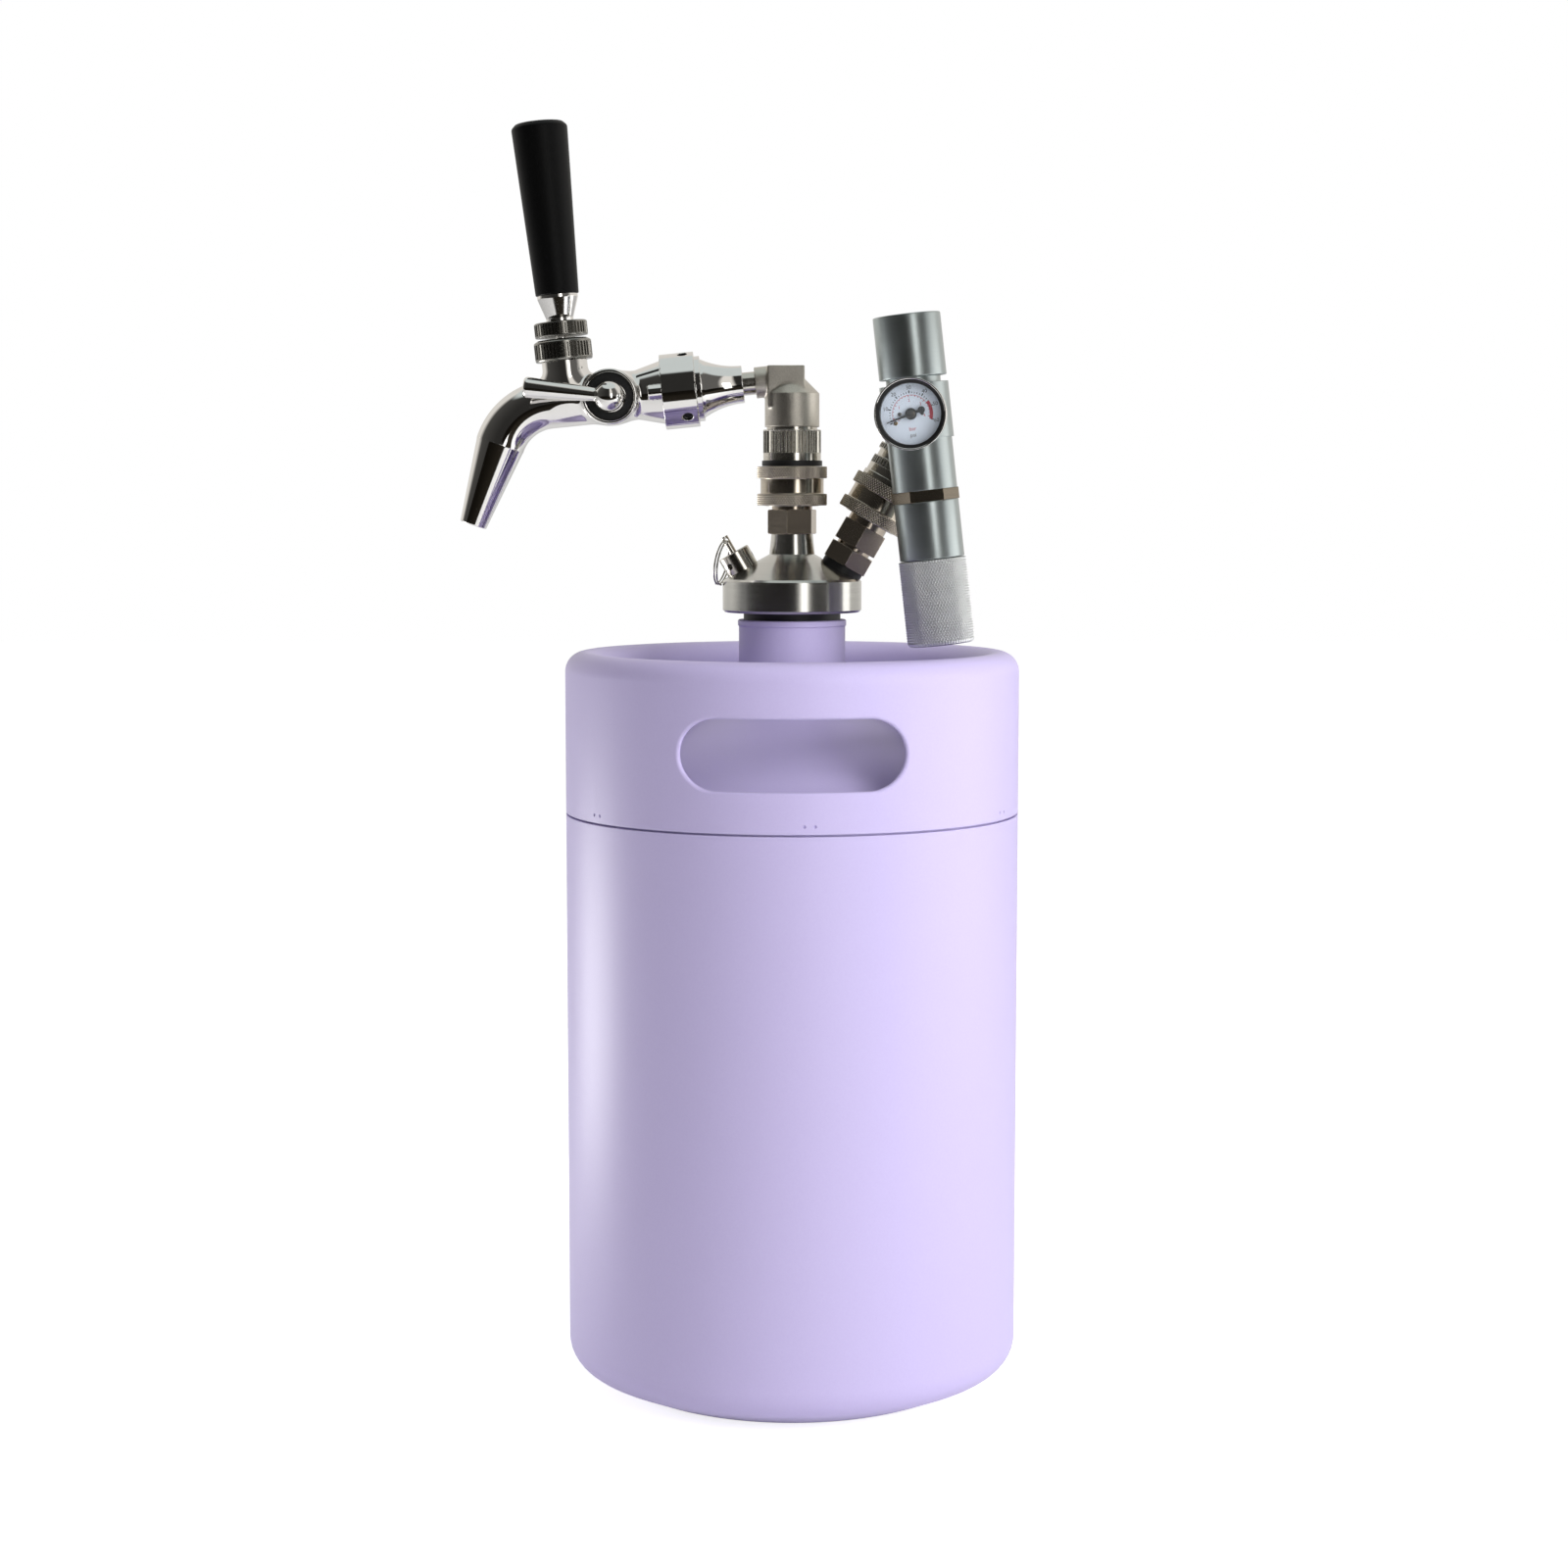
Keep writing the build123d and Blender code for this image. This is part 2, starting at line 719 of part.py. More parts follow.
with BuildPart() as inner_vessel:
    spigot = neck_inner - weld_gap
    sheet([(0, vessel_floor_height), (vessel_radius, vessel_floor_height),
           (vessel_radius, vessel_shoulder_height), (spigot + vessel_neck_land, vessel_neck_height),
           (spigot, vessel_neck_height), (spigot, vessel_neck_height + vessel_spigot_rise)],
          [vessel_edge_radius, vessel_shoulder_radius, vessel_bend_radius, vessel_bend_radius], vessel_wall)

with BuildPart() as keg_neck:
    foot = vessel_neck_height + neck_foot_gap
    bead_low = neck_top_height - neck_bead_height
    thread = neck_thread_diameter / 2
    thread_low = neck_top_height - neck_thread_length
    turn(Plane.XY, (neck_inner, foot), (neck_radius, foot), (neck_radius, bead_low),
         (neck_radius + neck_bead, bead_low + neck_bead),
         (neck_radius + neck_bead, neck_top_height - neck_bead),
         (neck_radius, neck_top_height), (thread, neck_top_height), (thread, thread_low),
         (neck_inner, thread_low - neck_run_out))

# Cap and what hangs from it
with BuildPart() as cap_gasket:
    pipe(Plane.XY, 2 * (cap_spigot_radius + seat_gap), gasket_diameter, neck_top_height, cap_bottom)

with BuildPart() as keg_cap:
    rim = cap_diameter / 2
    boss_base = boss_base_diameter / 2
    turn(Plane.XY, (0, cap_spigot_low), (cap_spigot_radius, cap_spigot_low), (cap_spigot_radius, cap_bottom),
         (rim - cap_edge, cap_bottom), (rim, cap_bottom + cap_edge), (rim, cap_rim_top - cap_edge),
         (cap_cone_radius, cap_rim_top), (boss_base, cap_cone_top), (boss_top_diameter / 2, boss_top),
         (0, boss_top))
    bore(Plane.XY, cap_well_diameter, cap_spigot_low, cap_spigot_low + cap_well_height)
    bore(Plane.XY, dip_hole_diameter, cap_spigot_low, boss_top)
    bore(Plane.XY, boss_bore_diameter, boss_top - boss_bore_depth, boss_top)
    for port, seat in ((gas_port, gas_seat_diameter), (prv_port, prv_seat_diameter)):
        bore(port, seat, -port_sink, port_sink + cut_overrun)
        bore(port, port_thread_diameter, -port_thread_depth, 0)
        bore(port, port_hole_diameter, -port_hole_depth, 0)

with BuildPart() as dip_tube:
    dip_low = vessel_floor_height + vessel_wall + dip_tube_clearance
    dip_seat = boss_top - boss_bore_depth
    dip_top = dip_seat + dip_flange_height
    rod(Plane.XY, dip_tube_diameter, dip_low, dip_top)
    rod(Plane.XY, boss_bore_diameter - 2 * weld_gap, dip_seat, dip_top)
    bore(Plane.XY, dip_tube_diameter - 2 * dip_tube_wall, dip_low, dip_top)

with BuildPart() as liquid_post:
    ball_lock_post(liquid_lock, liquid_hex_height, liquid_hex_gap, liquid_hex_turn)
    liquid_hex_low = -liquid_hex_gap - liquid_hex_height
    stub_low = liquid_hex_low - post_stub_length
    rod(liquid_lock, boss_bore_diameter - 4 * weld_gap, stub_low, liquid_hex_low)
    bore(liquid_lock, post_hole_diameter, stub_low, post_rise)

with BuildPart() as gas_adapter_oring:
    pipe(gas_port, gas_oring_neck_diameter + 2 * weld_gap, gas_oring_diameter, -port_sink,
         gas_oring_height - port_sink)

with BuildPart() as gas_adapter:
    hex_low = gas_oring_height - port_sink
    hex_high = hex_low + adapter_hex_height
    spigot_high = gas_post_base + adapter_spigot_length
    hexagon(gas_port, adapter_hex, hex_low, hex_high, post_hex_edge)
    rod(gas_port, gas_oring_neck_diameter, -port_sink, hex_low)
    rod(gas_port, port_thread_diameter - 4 * weld_gap, -port_thread_depth, -port_sink)
    rod(gas_port, adapter_spigot_diameter, hex_high, spigot_high)
    bore(gas_port, adapter_bore_diameter, -port_thread_depth, spigot_high)

with BuildPart() as gas_post:
    ball_lock_post(gas_lock, gas_hex_height, gas_hex_gap)
    socket = adapter_spigot_diameter + 2 * weld_gap
    bore(gas_port, socket, gas_post_base, gas_post_base + adapter_spigot_length + weld_gap)
    bore(gas_port, post_hole_diameter, gas_post_base, gas_post_base + gas_hex_height + gas_hex_gap)

with BuildPart() as post_orings:
    oring_inner = post_diameter - 2 * post_oring_depth
    oring_outer = post_diameter + running_gap
    for lock in (liquid_lock, gas_lock):
        pipe(lock, oring_inner, oring_outer, post_oring_height, post_oring_height + post_oring_section)

with BuildPart() as post_poppets:
    for lock in (liquid_lock, gas_lock):
        head_low = post_rise - post_bore_depth + poppet_lift
        rod(lock, post_bore_diameter - 2 * poppet_gap, head_low, head_low + poppet_head_height)
        rod(lock, poppet_stem_diameter, head_low, post_rise - poppet_gap)

with BuildPart() as poppet_springs:
    for lock in (liquid_lock, gas_lock):
        poppet_floor = post_rise - post_bore_depth
        poppet_mean = (post_hole_diameter + post_bore_diameter) / 2
        spring(lock, poppet_mean, poppet_wire, poppet_floor, poppet_floor + poppet_lift, poppet_turns)

# Relief valve with its pull ring
with BuildPart() as prv_body:
    prv_rim = prv_diameter / 2
    prv_bore = prv_stem_diameter + 2 * running_gap
    turn(prv_port, (0, -port_sink), (prv_rim, -port_sink), (prv_rim, prv_height - prv_edge),
         (prv_rim - prv_edge, prv_height), (0, prv_height))
    rod(prv_port, port_thread_diameter - 4 * weld_gap, -port_thread_depth, -port_sink)
    bore(prv_port, prv_bore, prv_chamber_high, prv_height)
    bore(prv_port, prv_chamber_diameter, -prv_chamber_low, prv_chamber_high)
    bore(prv_port, prv_outlet_diameter, -port_thread_depth, -prv_chamber_low)
    for spoke in spokes(prv_port, prv_vents, prv_vent_height, turned=prv_vent_turn):
        bore(spoke, prv_vent_diameter, 0, prv_rim + cut_overrun)

with BuildPart() as prv_stem:
    collar_low = -prv_chamber_low + seat_gap
    rod(prv_port, prv_stem_diameter, collar_low, prv_height + prv_stem_rise)
    rod(prv_port, prv_stem_collar_diameter, collar_low, collar_low + prv_stem_collar_height)
    eye = Plane(origin=prv_port.offset(ring_hole_height).origin, x_dir=ring_drop, z_dir=ring_across)
    bore(eye, prv_eye_diameter, -prv_stem_diameter, prv_stem_diameter)

with BuildPart() as prv_spring:
    prv_mean = (prv_stem_diameter + prv_chamber_diameter) / 2
    prv_spring_low = -prv_chamber_low + seat_gap + prv_stem_collar_height
    spring(prv_port, prv_mean, prv_spring_wire, prv_spring_low, prv_chamber_high, prv_spring_turns)

with BuildPart() as prv_ring:
    ring_rise = ring_pitch * ring_turns / 2
    coil(prv_ring_frame, 2 * ring_mean_radius, ring_wire, -ring_rise, ring_rise, ring_turns)

# Liquid disconnect
with BuildPart() as liquid_disconnect:
    disconnect(liquid_lock)

with BuildPart() as liquid_lock_balls:
    lock_ball_ring(liquid_lock)

with BuildPart() as liquid_collar:
    lock_collar(liquid_lock)

with BuildPart() as liquid_collar_spring:
    collar_spring(liquid_lock)

with BuildPart() as liquid_stop_ring:
    ring_inner = flange_diameter + 2 * weld_gap
    pipe(liquid_lock, ring_inner, flange_diameter + 2 * stop_ring_wall, flange_start,
         flange_start + stop_ring_height)

# Elbow and the chain of pieces to the faucet
with BuildPart() as liquid_elbow:
    barrel_top = elbow_base + elbow_barrel_height
    crown_top = barrel_top + (elbow_diameter - elbow_crown_diameter) / 2
    outlet_level = barrel_top + elbow_outlet_rise
    socket = disconnect_stub_diameter + 2 * weld_gap
    turn(liquid_lock, (0, elbow_base), (elbow_diameter / 2, elbow_base), (elbow_diameter / 2, barrel_top),
         (elbow_crown_diameter / 2, crown_top), (0, crown_top))
    block_low = barrel_top - elbow_outlet_rise
    with BuildSketch(liquid_lock.offset(block_low)):
        with Locations((-elbow_block_shift, 0)):
            Rectangle(elbow_block_width, elbow_block_width)
    extrude(amount=outlet_level + elbow_block_rise - block_low)
    rod(tap, outlet_nut_diameter, outlet_start, outlet_end)
    bore(liquid_lock, socket, elbow_base, elbow_base + disconnect_stub_length + weld_gap)
    bore(liquid_lock, elbow_bore_diameter, elbow_base, outlet_level)
    bore(tap, elbow_bore_diameter, 0, outlet_end)
    bore(tap, tail_diameter + 2 * weld_gap, outlet_start, outlet_end)

with BuildPart() as inlet_tail:
    pipe(tap, tail_bore_diameter, tail_diameter, outlet_start, tail_end)

with BuildPart() as shank_adapter:
    small = adapter_small_diameter / 2
    wide = adapter_wide_diameter / 2
    flange_low = nut_start + nut_lip + weld_gap
    adapter_flange = adapter_flange_diameter / 2
    with BuildSketch(half_plane(tap)) as bell:
        with BuildLine():
            ThreePointArc((small, adapter_start),
                          (adapter_waist_diameter / 2, (adapter_start + nut_start) / 2),
                          (wide, nut_start))
            Polyline((wide, nut_start), (wide, flange_low), (adapter_flange, flange_low),
                     (adapter_flange, adapter_end), (0, adapter_end), (0, adapter_start),
                     (small, adapter_start))
        make_face()
    spin(bell, tap, Mode.ADD)
    bore(tap, tail_diameter + 2 * weld_gap, adapter_start, tail_end)
    bore(tap, tail_bore_diameter, adapter_start, adapter_end)

with BuildPart() as shank_washer:
    pipe(tap, tail_bore_diameter, adapter_flange_diameter, adapter_end, adapter_end + washer_height)

with BuildPart() as coupling_nut:
    nut_rim = nut_diameter / 2
    nut_step = nut_step_diameter / 2
    step_end = nut_start + nut_step_length
    lip = wide + seat_gap / 2
    thread = adapter_flange + 3 * weld_gap
    turn(tap, (lip, nut_start), (nut_step - nut_edge / 2, nut_start), (nut_step, nut_start + nut_edge / 2),
         (nut_step, step_end), (nut_rim - nut_edge, step_end), (nut_rim, step_end + nut_edge),
         (nut_rim, nut_end - nut_edge), (nut_rim - nut_edge, nut_end), (thread, nut_end),
         (thread, nut_start + nut_lip), (lip, nut_start + nut_lip))
    for spoke in spokes(tap, spanner_holes, spanner_hole_place, turned=-spanner_hole_turn):
        bore(spoke, spanner_hole_diameter, nut_rim - spanner_hole_depth, nut_rim + cut_overrun)

# Faucet
with BuildPart() as faucet_body:
    faucet_low = adapter_end + washer_height
    cone = faucet_cone_diameter / 2
    tube = faucet_diameter / 2
    turn(tap, (0, faucet_low), (adapter_flange, faucet_low), (adapter_flange, nut_end), (cone, nut_end),
         (tube, faucet_cone_end), (tube, bend_start), (0, bend_start))
    with BuildSketch(tap.offset(bend_start)) as bend_section:
        Circle(tube)
    revolve(bend_section.sketch, axis=Axis(bend_centre, (0, -1, 0)), revolution_arc=bend_angle)
    rod(stem, stem_neck_diameter, 0, stem_neck_top)
    rod(stem, stem_thread_diameter, stem_neck_top, stem_thread_top)
    rod(hub, hub_diameter, 0, hub_height)
    peg = Plane(origin=tap.offset(nut_end).origin + Vector(0, -peg_offset, 0), z_dir=tap_heading)
    rod(peg, peg_diameter, 0, peg_length)
    bore(tap, faucet_bore_diameter, faucet_low, bend_start)
    with BuildSketch(tap.offset(bend_start)) as bend_bore:
        Circle(bend_bore_diameter / 2)
    revolve(bend_bore.sketch, axis=Axis(bend_centre, (0, -1, 0)), revolution_arc=bend_angle,
            mode=Mode.SUBTRACT)
    bore(stem, lever_ball_diameter + 4 * weld_gap, 0, stem_bore_floor)
    bore(stem, stem_bore_diameter, stem_bore_floor, stem_thread_top)
    bore(hub, hub_bore_diameter, hub_floor, hub_height)
    bore(hub, flow_spindle_diameter + 2 * running_gap, 0, hub_floor)

with BuildPart() as spout_tip:
    bend_bore_radius = bend_bore_diameter / 2
    tip_bore = spout_bore_diameter / 2
    turn(spout, (bend_bore_radius, 0), (spout_diameter / 2, 0), (spout_tip_diameter / 2, spout_length),
         (tip_bore, spout_length), (tip_bore, spout_length - spout_bore_length))

with BuildPart() as bonnet_nut:
    rim = bonnet_diameter / 2
    cavity = bonnet_cavity_diameter / 2
    thread = stem_thread_diameter / 2 + weld_gap
    dome_radius_out = sqrt(rim ** 2 + (bonnet_top - lever_pivot) ** 2)
    dome_radius_in = dome_radius_out - bonnet_dome_wall
    reach_mid = rim / 2
    cavity_mid = cavity / 2
    with BuildSketch(half_plane(stem)) as shell:
        with BuildLine():
            Polyline((thread, stem_thread_top), (thread, stem_neck_top), (rim, stem_neck_top),
                     (rim, bonnet_top))
            ThreePointArc((rim, bonnet_top),
                          (reach_mid, lever_pivot + dome_outline(dome_radius_out, reach_mid)),
                          (0, lever_pivot + dome_radius_out))
            Line((0, lever_pivot + dome_radius_out), (0, lever_pivot + dome_radius_in))
            ThreePointArc((0, lever_pivot + dome_radius_in),
                          (cavity_mid, lever_pivot + dome_outline(dome_radius_in, cavity_mid)),
                          (cavity, lever_pivot + dome_outline(dome_radius_in, cavity)))
            Polyline((cavity, lever_pivot + dome_outline(dome_radius_in, cavity)), (cavity, stem_thread_top),
                     (thread, stem_thread_top))
        make_face()
    spin(shell, stem, Mode.ADD)
    slot_back = lever_diameter / 2 + bonnet_slot_gap
    slot_front = dome_radius_out * sin(radians(handle_throw)) + slot_back
    cut_box(stem, slot_front + slot_back, 2 * slot_back, stem_thread_top, lever_pivot + dome_radius_out,
            shift=(slot_front - slot_back) / 2)

with BuildPart() as handle_lever:
    rod(stem, lever_diameter, lever_pivot, lever_top)
    rod(stem, lever_arm_diameter, lever_pivot - lever_arm_drop, lever_pivot)
    with Locations(stem.offset(lever_pivot)):
        Sphere(lever_ball_diameter / 2)
    with Locations(stem.offset(lever_pivot - lever_arm_drop)):
        Sphere(lever_arm_diameter / 2)

with BuildPart() as handle_lock_nut:
    grip = lever_diameter / 2 + weld_gap
    rim = lock_nut_diameter / 2
    hollow = sqrt(rim ** 2 + (lock_nut_start - lever_pivot) ** 2)
    middle = (grip + rim) / 2
    with BuildSketch(half_plane(stem)) as cup:
        with BuildLine():
            ThreePointArc((grip, lever_pivot + dome_outline(hollow, grip)),
                          (middle, lever_pivot + dome_outline(hollow, middle)), (rim, lock_nut_start))
            Polyline((rim, lock_nut_start), (rim, lock_nut_end), (grip, lock_nut_end),
                     (grip, lever_pivot + dome_outline(hollow, grip)))
        make_face()
    spin(cup, stem, Mode.ADD)

with BuildPart() as handle_ferrule:
    small = ferrule_small_diameter / 2
    wide = ferrule_wide_diameter / 2
    turn(stem, (grip, lock_nut_end), (small, lock_nut_end), (small, lock_nut_end + ferrule_land),
         (wide, ferrule_end - ferrule_land), (wide, ferrule_end), (grip, ferrule_end))

with BuildPart() as tap_handle:
    foot = handle_base_diameter / 2
    crown = handle_top_diameter / 2
    shoulder = handle_end - handle_crown - handle_round
    with BuildSketch(half_plane(stem)) as grip_section:
        with BuildLine():
            Polyline((0, lever_top + weld_gap), (grip, lever_top + weld_gap), (grip, ferrule_end),
                     (foot, ferrule_end), (crown, shoulder))
            TangentArc((crown, shoulder), (crown - handle_round, handle_end - handle_crown),
                       tangent=(crown - foot, shoulder - ferrule_end))
            Polyline((crown - handle_round, handle_end - handle_crown), (0, handle_end),
                     (0, lever_top + weld_gap))
        make_face()
    spin(grip_section, stem, Mode.ADD)

with BuildPart() as faucet_shaft:
    head_high = bend_start - shaft_seat_gap
    guide = faucet_bore_diameter - 2 * seat_gap
    rod(tap, shaft_diameter, shaft_start, head_high)
    rod(tap, guide, shaft_start, shaft_start + shaft_guide_height)
    rod(tap, guide, head_high - shaft_head_height, head_high)
    cut_box(stem, shaft_slot_length, shaft_slot_width, -shaft_slot_depth, shaft_diameter)

with BuildPart() as flow_seal_ring:
    pipe(hub, flow_ball_diameter + 2 * seat_gap, hub_bore_diameter - 2 * weld_gap, hub_floor,
         hub_floor + hub_ring_height)

with BuildPart() as flow_lever:
    small = flow_lever_small_diameter / 2
    large = flow_lever_large_diameter / 2
    with Locations(hub.offset(flow_ball_place)):
        Sphere(flow_ball_diameter / 2)
    rod(hub, flow_spindle_diameter, flow_spindle_start, flow_ball_place)
    with BuildSketch(half_plane(flow_arm)) as arm:
        with BuildLine():
            Polyline((0, 0), (small, 0), (large, flow_lever_length - large))
            ThreePointArc((large, flow_lever_length - large),
                          (large * sin(pi / 4), flow_lever_length - large + large * cos(pi / 4)),
                          (0, flow_lever_length))
            Line((0, flow_lever_length), (0, 0))
        make_face()
    spin(arm, flow_arm, Mode.ADD)

# Gas disconnect
with BuildPart() as gas_disconnect:
    disconnect(gas_lock)
    pipe(gas_lock, sleeve_neck_diameter, flange_diameter + 2 * stop_ring_wall, flange_start,
         flange_start + stop_ring_height)
    pipe(gas_lock, gas_waist_diameter, flange_diameter + 2 * cut_overrun, gas_waist_start,
         gas_waist_start + gas_waist_height, mode=Mode.SUBTRACT)

with BuildPart() as gas_lock_balls:
    lock_ball_ring(gas_lock)

with BuildPart() as gas_collar:
    lock_collar(gas_lock)

with BuildPart() as gas_collar_spring:
    collar_spring(gas_lock)

with BuildPart() as gas_elbow:
    barrel_top = elbow_base + gas_elbow_outlet + gas_elbow_rise
    branch_end = regulator_offset - gas_port_face
    socket = disconnect_stub_diameter + 2 * weld_gap
    crown_edge = (elbow_diameter - elbow_crown_diameter) / 2
    turn(gas_lock, (0, elbow_base), (elbow_diameter / 2, elbow_base),
         (elbow_diameter / 2, barrel_top - crown_edge), (elbow_crown_diameter / 2, barrel_top),
         (0, barrel_top))
    rod(gas_branch, gas_branch_diameter, 0, branch_end)
    rod(gas_branch, gas_nipple_diameter, branch_end, branch_end + gas_port_depth)
    bore(gas_lock, socket, elbow_base, elbow_base + disconnect_stub_length + weld_gap)
    bore(gas_branch, regulator_passage_diameter, 0, branch_end + gas_port_depth)

# Regulator
with BuildPart() as regulator_body:
    step = -diaphragm_place + diaphragm_thickness
    spigot_end = regulator_neck_end + socket_spigot_length
    rod(regulator, regulator_tube_diameter, -regulator_foot, -regulator_shoulder)
    rod(regulator, regulator_block_diameter, -regulator_shoulder, regulator_block_end)
    rod(regulator, regulator_neck_diameter, regulator_block_end, regulator_neck_end)
    rod(regulator, socket_spigot_diameter, regulator_neck_end, spigot_end)
    rod(gas_inlet, gas_port_boss_diameter, 0, gas_port_face)
    bore(regulator, regulator_bore_diameter, -regulator_foot, step)
    bore(regulator, regulator_chamber_diameter, step, step + regulator_chamber_depth)
    bore(regulator, regulator_passage_diameter, step, spigot_end)
    nipple_seat = gas_port_face - gas_port_depth - weld_gap
    bore(gas_inlet, gas_nipple_diameter + 2 * weld_gap, nipple_seat, gas_port_face)
    bore(gas_inlet, regulator_passage_diameter, 0, gas_port_face)
    gauge_seat = gauge_reach - gauge_case_depth - gauge_stem_length - weld_gap
    bore(gauge_root, gauge_stem_diameter + 2 * weld_gap, gauge_seat, regulator_block_diameter)
    bore(gauge_root, regulator_passage_diameter, 0, gauge_seat)

with BuildPart() as cartridge_socket:
    rod(regulator, socket_diameter, regulator_neck_end, socket_end)
    bore(regulator, socket_spigot_diameter + 2 * weld_gap, regulator_neck_end, socket_seat)
    bore(regulator, socket_relief_diameter, socket_seat, socket_thread_start)
    bore(regulator, socket_thread_diameter, socket_thread_start, socket_end)
    bore(regulator, socket_mouth_diameter, socket_end - socket_mouth_depth, socket_end)

with BuildPart() as piercing_pin:
    pin_low = regulator_neck_end + socket_spigot_length
    pin_step = pin_low + pin_base_height
    rod(regulator, pin_base_diameter, pin_low, pin_step)
    turn(regulator, (0, pin_step), (pin_diameter / 2, pin_step),
         (pin_tip_diameter / 2, pin_step + pin_length),
         (0, pin_step + pin_length))

with BuildPart() as hex_lock_nut:
    nut_low = -regulator_foot - hex_nut_height
    nut_corner = hex_nut_flats / sqrt(3) - hex_nut_corner_diameter / 2
    hexagon(regulator, hex_nut_flats, nut_low, -regulator_foot, nut_corner)
    bore(regulator, regulator_bore_diameter + 2 * weld_gap, nut_low, -regulator_foot)

with BuildPart() as spring_tube:
    tube_top = -regulator_foot - hex_nut_height
    spigot = regulator_bore_diameter - 2 * weld_gap
    rod(regulator, regulator_tube_diameter, -spring_tube_end, tube_top)
    rod(regulator, spigot, tube_top, -diaphragm_place)
    tube_floor = -spring_tube_end + spring_tube_floor
    tube_bore = spigot - 2 * spring_tube_wall
    bore(regulator, tube_bore, tube_floor, -diaphragm_place)
    bore(regulator, knob_spindle_diameter + 2 * running_gap, -spring_tube_end, tube_floor)

with BuildPart() as diaphragm:
    rod(regulator, spigot, -diaphragm_place, -diaphragm_place + diaphragm_thickness)

with BuildPart() as spring_plate:
    plate_low = tube_floor + spring_plate_gap
    plate_high = plate_low + spring_plate_height
    pipe(regulator, knob_spindle_diameter + 2 * running_gap, tube_bore - 2 * seat_gap, plate_low, plate_high)

with BuildPart() as regulator_spring:
    spring(regulator, regulator_spring_diameter - regulator_spring_wire, regulator_spring_wire, plate_high,
           -diaphragm_place, regulator_spring_turns)

with BuildPart() as adjusting_knob:
    knob_top = -spring_tube_end - seat_gap
    rod(regulator, knob_diameter, -knob_end, knob_top)
    fillet(adjusting_knob.edges().filter_by(GeomType.CIRCLE).sort_by(Axis.Z)[0], knob_edge_radius)
    rod(regulator, knob_spindle_diameter, knob_top, -knob_spindle_end)

# Gauge
with BuildPart() as gauge_case:
    case_inner = gauge_case_diameter - 2 * gauge_case_wall
    dial_seat = -gauge_dial_depth
    rod(gauge, gauge_case_diameter, -gauge_case_depth, -weld_gap)
    rod(gauge, gauge_stem_diameter, -gauge_case_depth - gauge_stem_length, -gauge_case_depth)
    bore(gauge, case_inner, dial_seat, -weld_gap)
    bore(gauge, case_inner - 2 * gauge_dial_lap, -gauge_case_depth + gauge_case_floor, dial_seat)
    bore(gauge, regulator_passage_diameter, -gauge_case_depth - gauge_stem_length, dial_seat)

with BuildPart() as bourdon_tube:
    tube_level = -gauge_case_depth + gauge_case_floor + bourdon_tube_diameter / 2 + weld_gap
    with BuildSketch(half_plane(gauge)) as tube_section:
        with Locations((bourdon_orbit / 2, tube_level)):
            Circle(bourdon_tube_diameter / 2)
    revolve(tube_section.sketch, axis=Axis(gauge.origin, gauge.z_dir), revolution_arc=bourdon_sweep)

with BuildPart() as gauge_dial:
    dial_high = dial_seat + gauge_dial_thickness
    pipe(gauge, gauge_dial_hole_diameter, case_inner - 2 * weld_gap, dial_seat, dial_high)

with BuildPart() as gauge_lens:
    rod(gauge, case_inner - 2 * weld_gap, -gauge_lens_thickness - weld_gap, -weld_gap)

with BuildPart() as gauge_bezel:
    bezel = gauge_bezel_diameter / 2
    sleeve = gauge_case_diameter / 2 + weld_gap
    window = gauge_window_diameter / 2
    turn(gauge, (sleeve, -gauge_bezel_depth), (bezel, -gauge_bezel_depth),
         (bezel, gauge_bezel_lip - gauge_bezel_edge),
         (bezel - gauge_bezel_edge, gauge_bezel_lip), (window, gauge_bezel_lip), (window, 0), (sleeve, 0))

with BuildPart() as gauge_needle:
    needle_low = dial_high + needle_lift
    needle_angle = radians(needle_rest_turn)
    rod(gauge, needle_hub_diameter, needle_low, needle_low + needle_thickness)
    rod(gauge, needle_spindle_diameter, needle_low - needle_spindle_length, needle_low)
    needle_heading = gauge.x_dir * cos(needle_angle) + gauge.y_dir * sin(needle_angle)
    pointer = Plane(origin=gauge.offset(needle_low).origin, x_dir=needle_heading, z_dir=gauge.z_dir)
    with BuildSketch(pointer) as blade:
        with BuildLine():
            Polyline((-needle_tail, needle_width / 2), (0, needle_width / 2),
                     (needle_reach, needle_tip_width / 2),
                     (needle_reach, -needle_tip_width / 2), (0, -needle_width / 2),
                     (-needle_tail, -needle_width / 2), close=True)
        make_face()
        with Locations((-needle_tail, 0)):
            Circle(needle_weight_diameter / 2)
    extrude(blade.sketch, amount=needle_thickness)

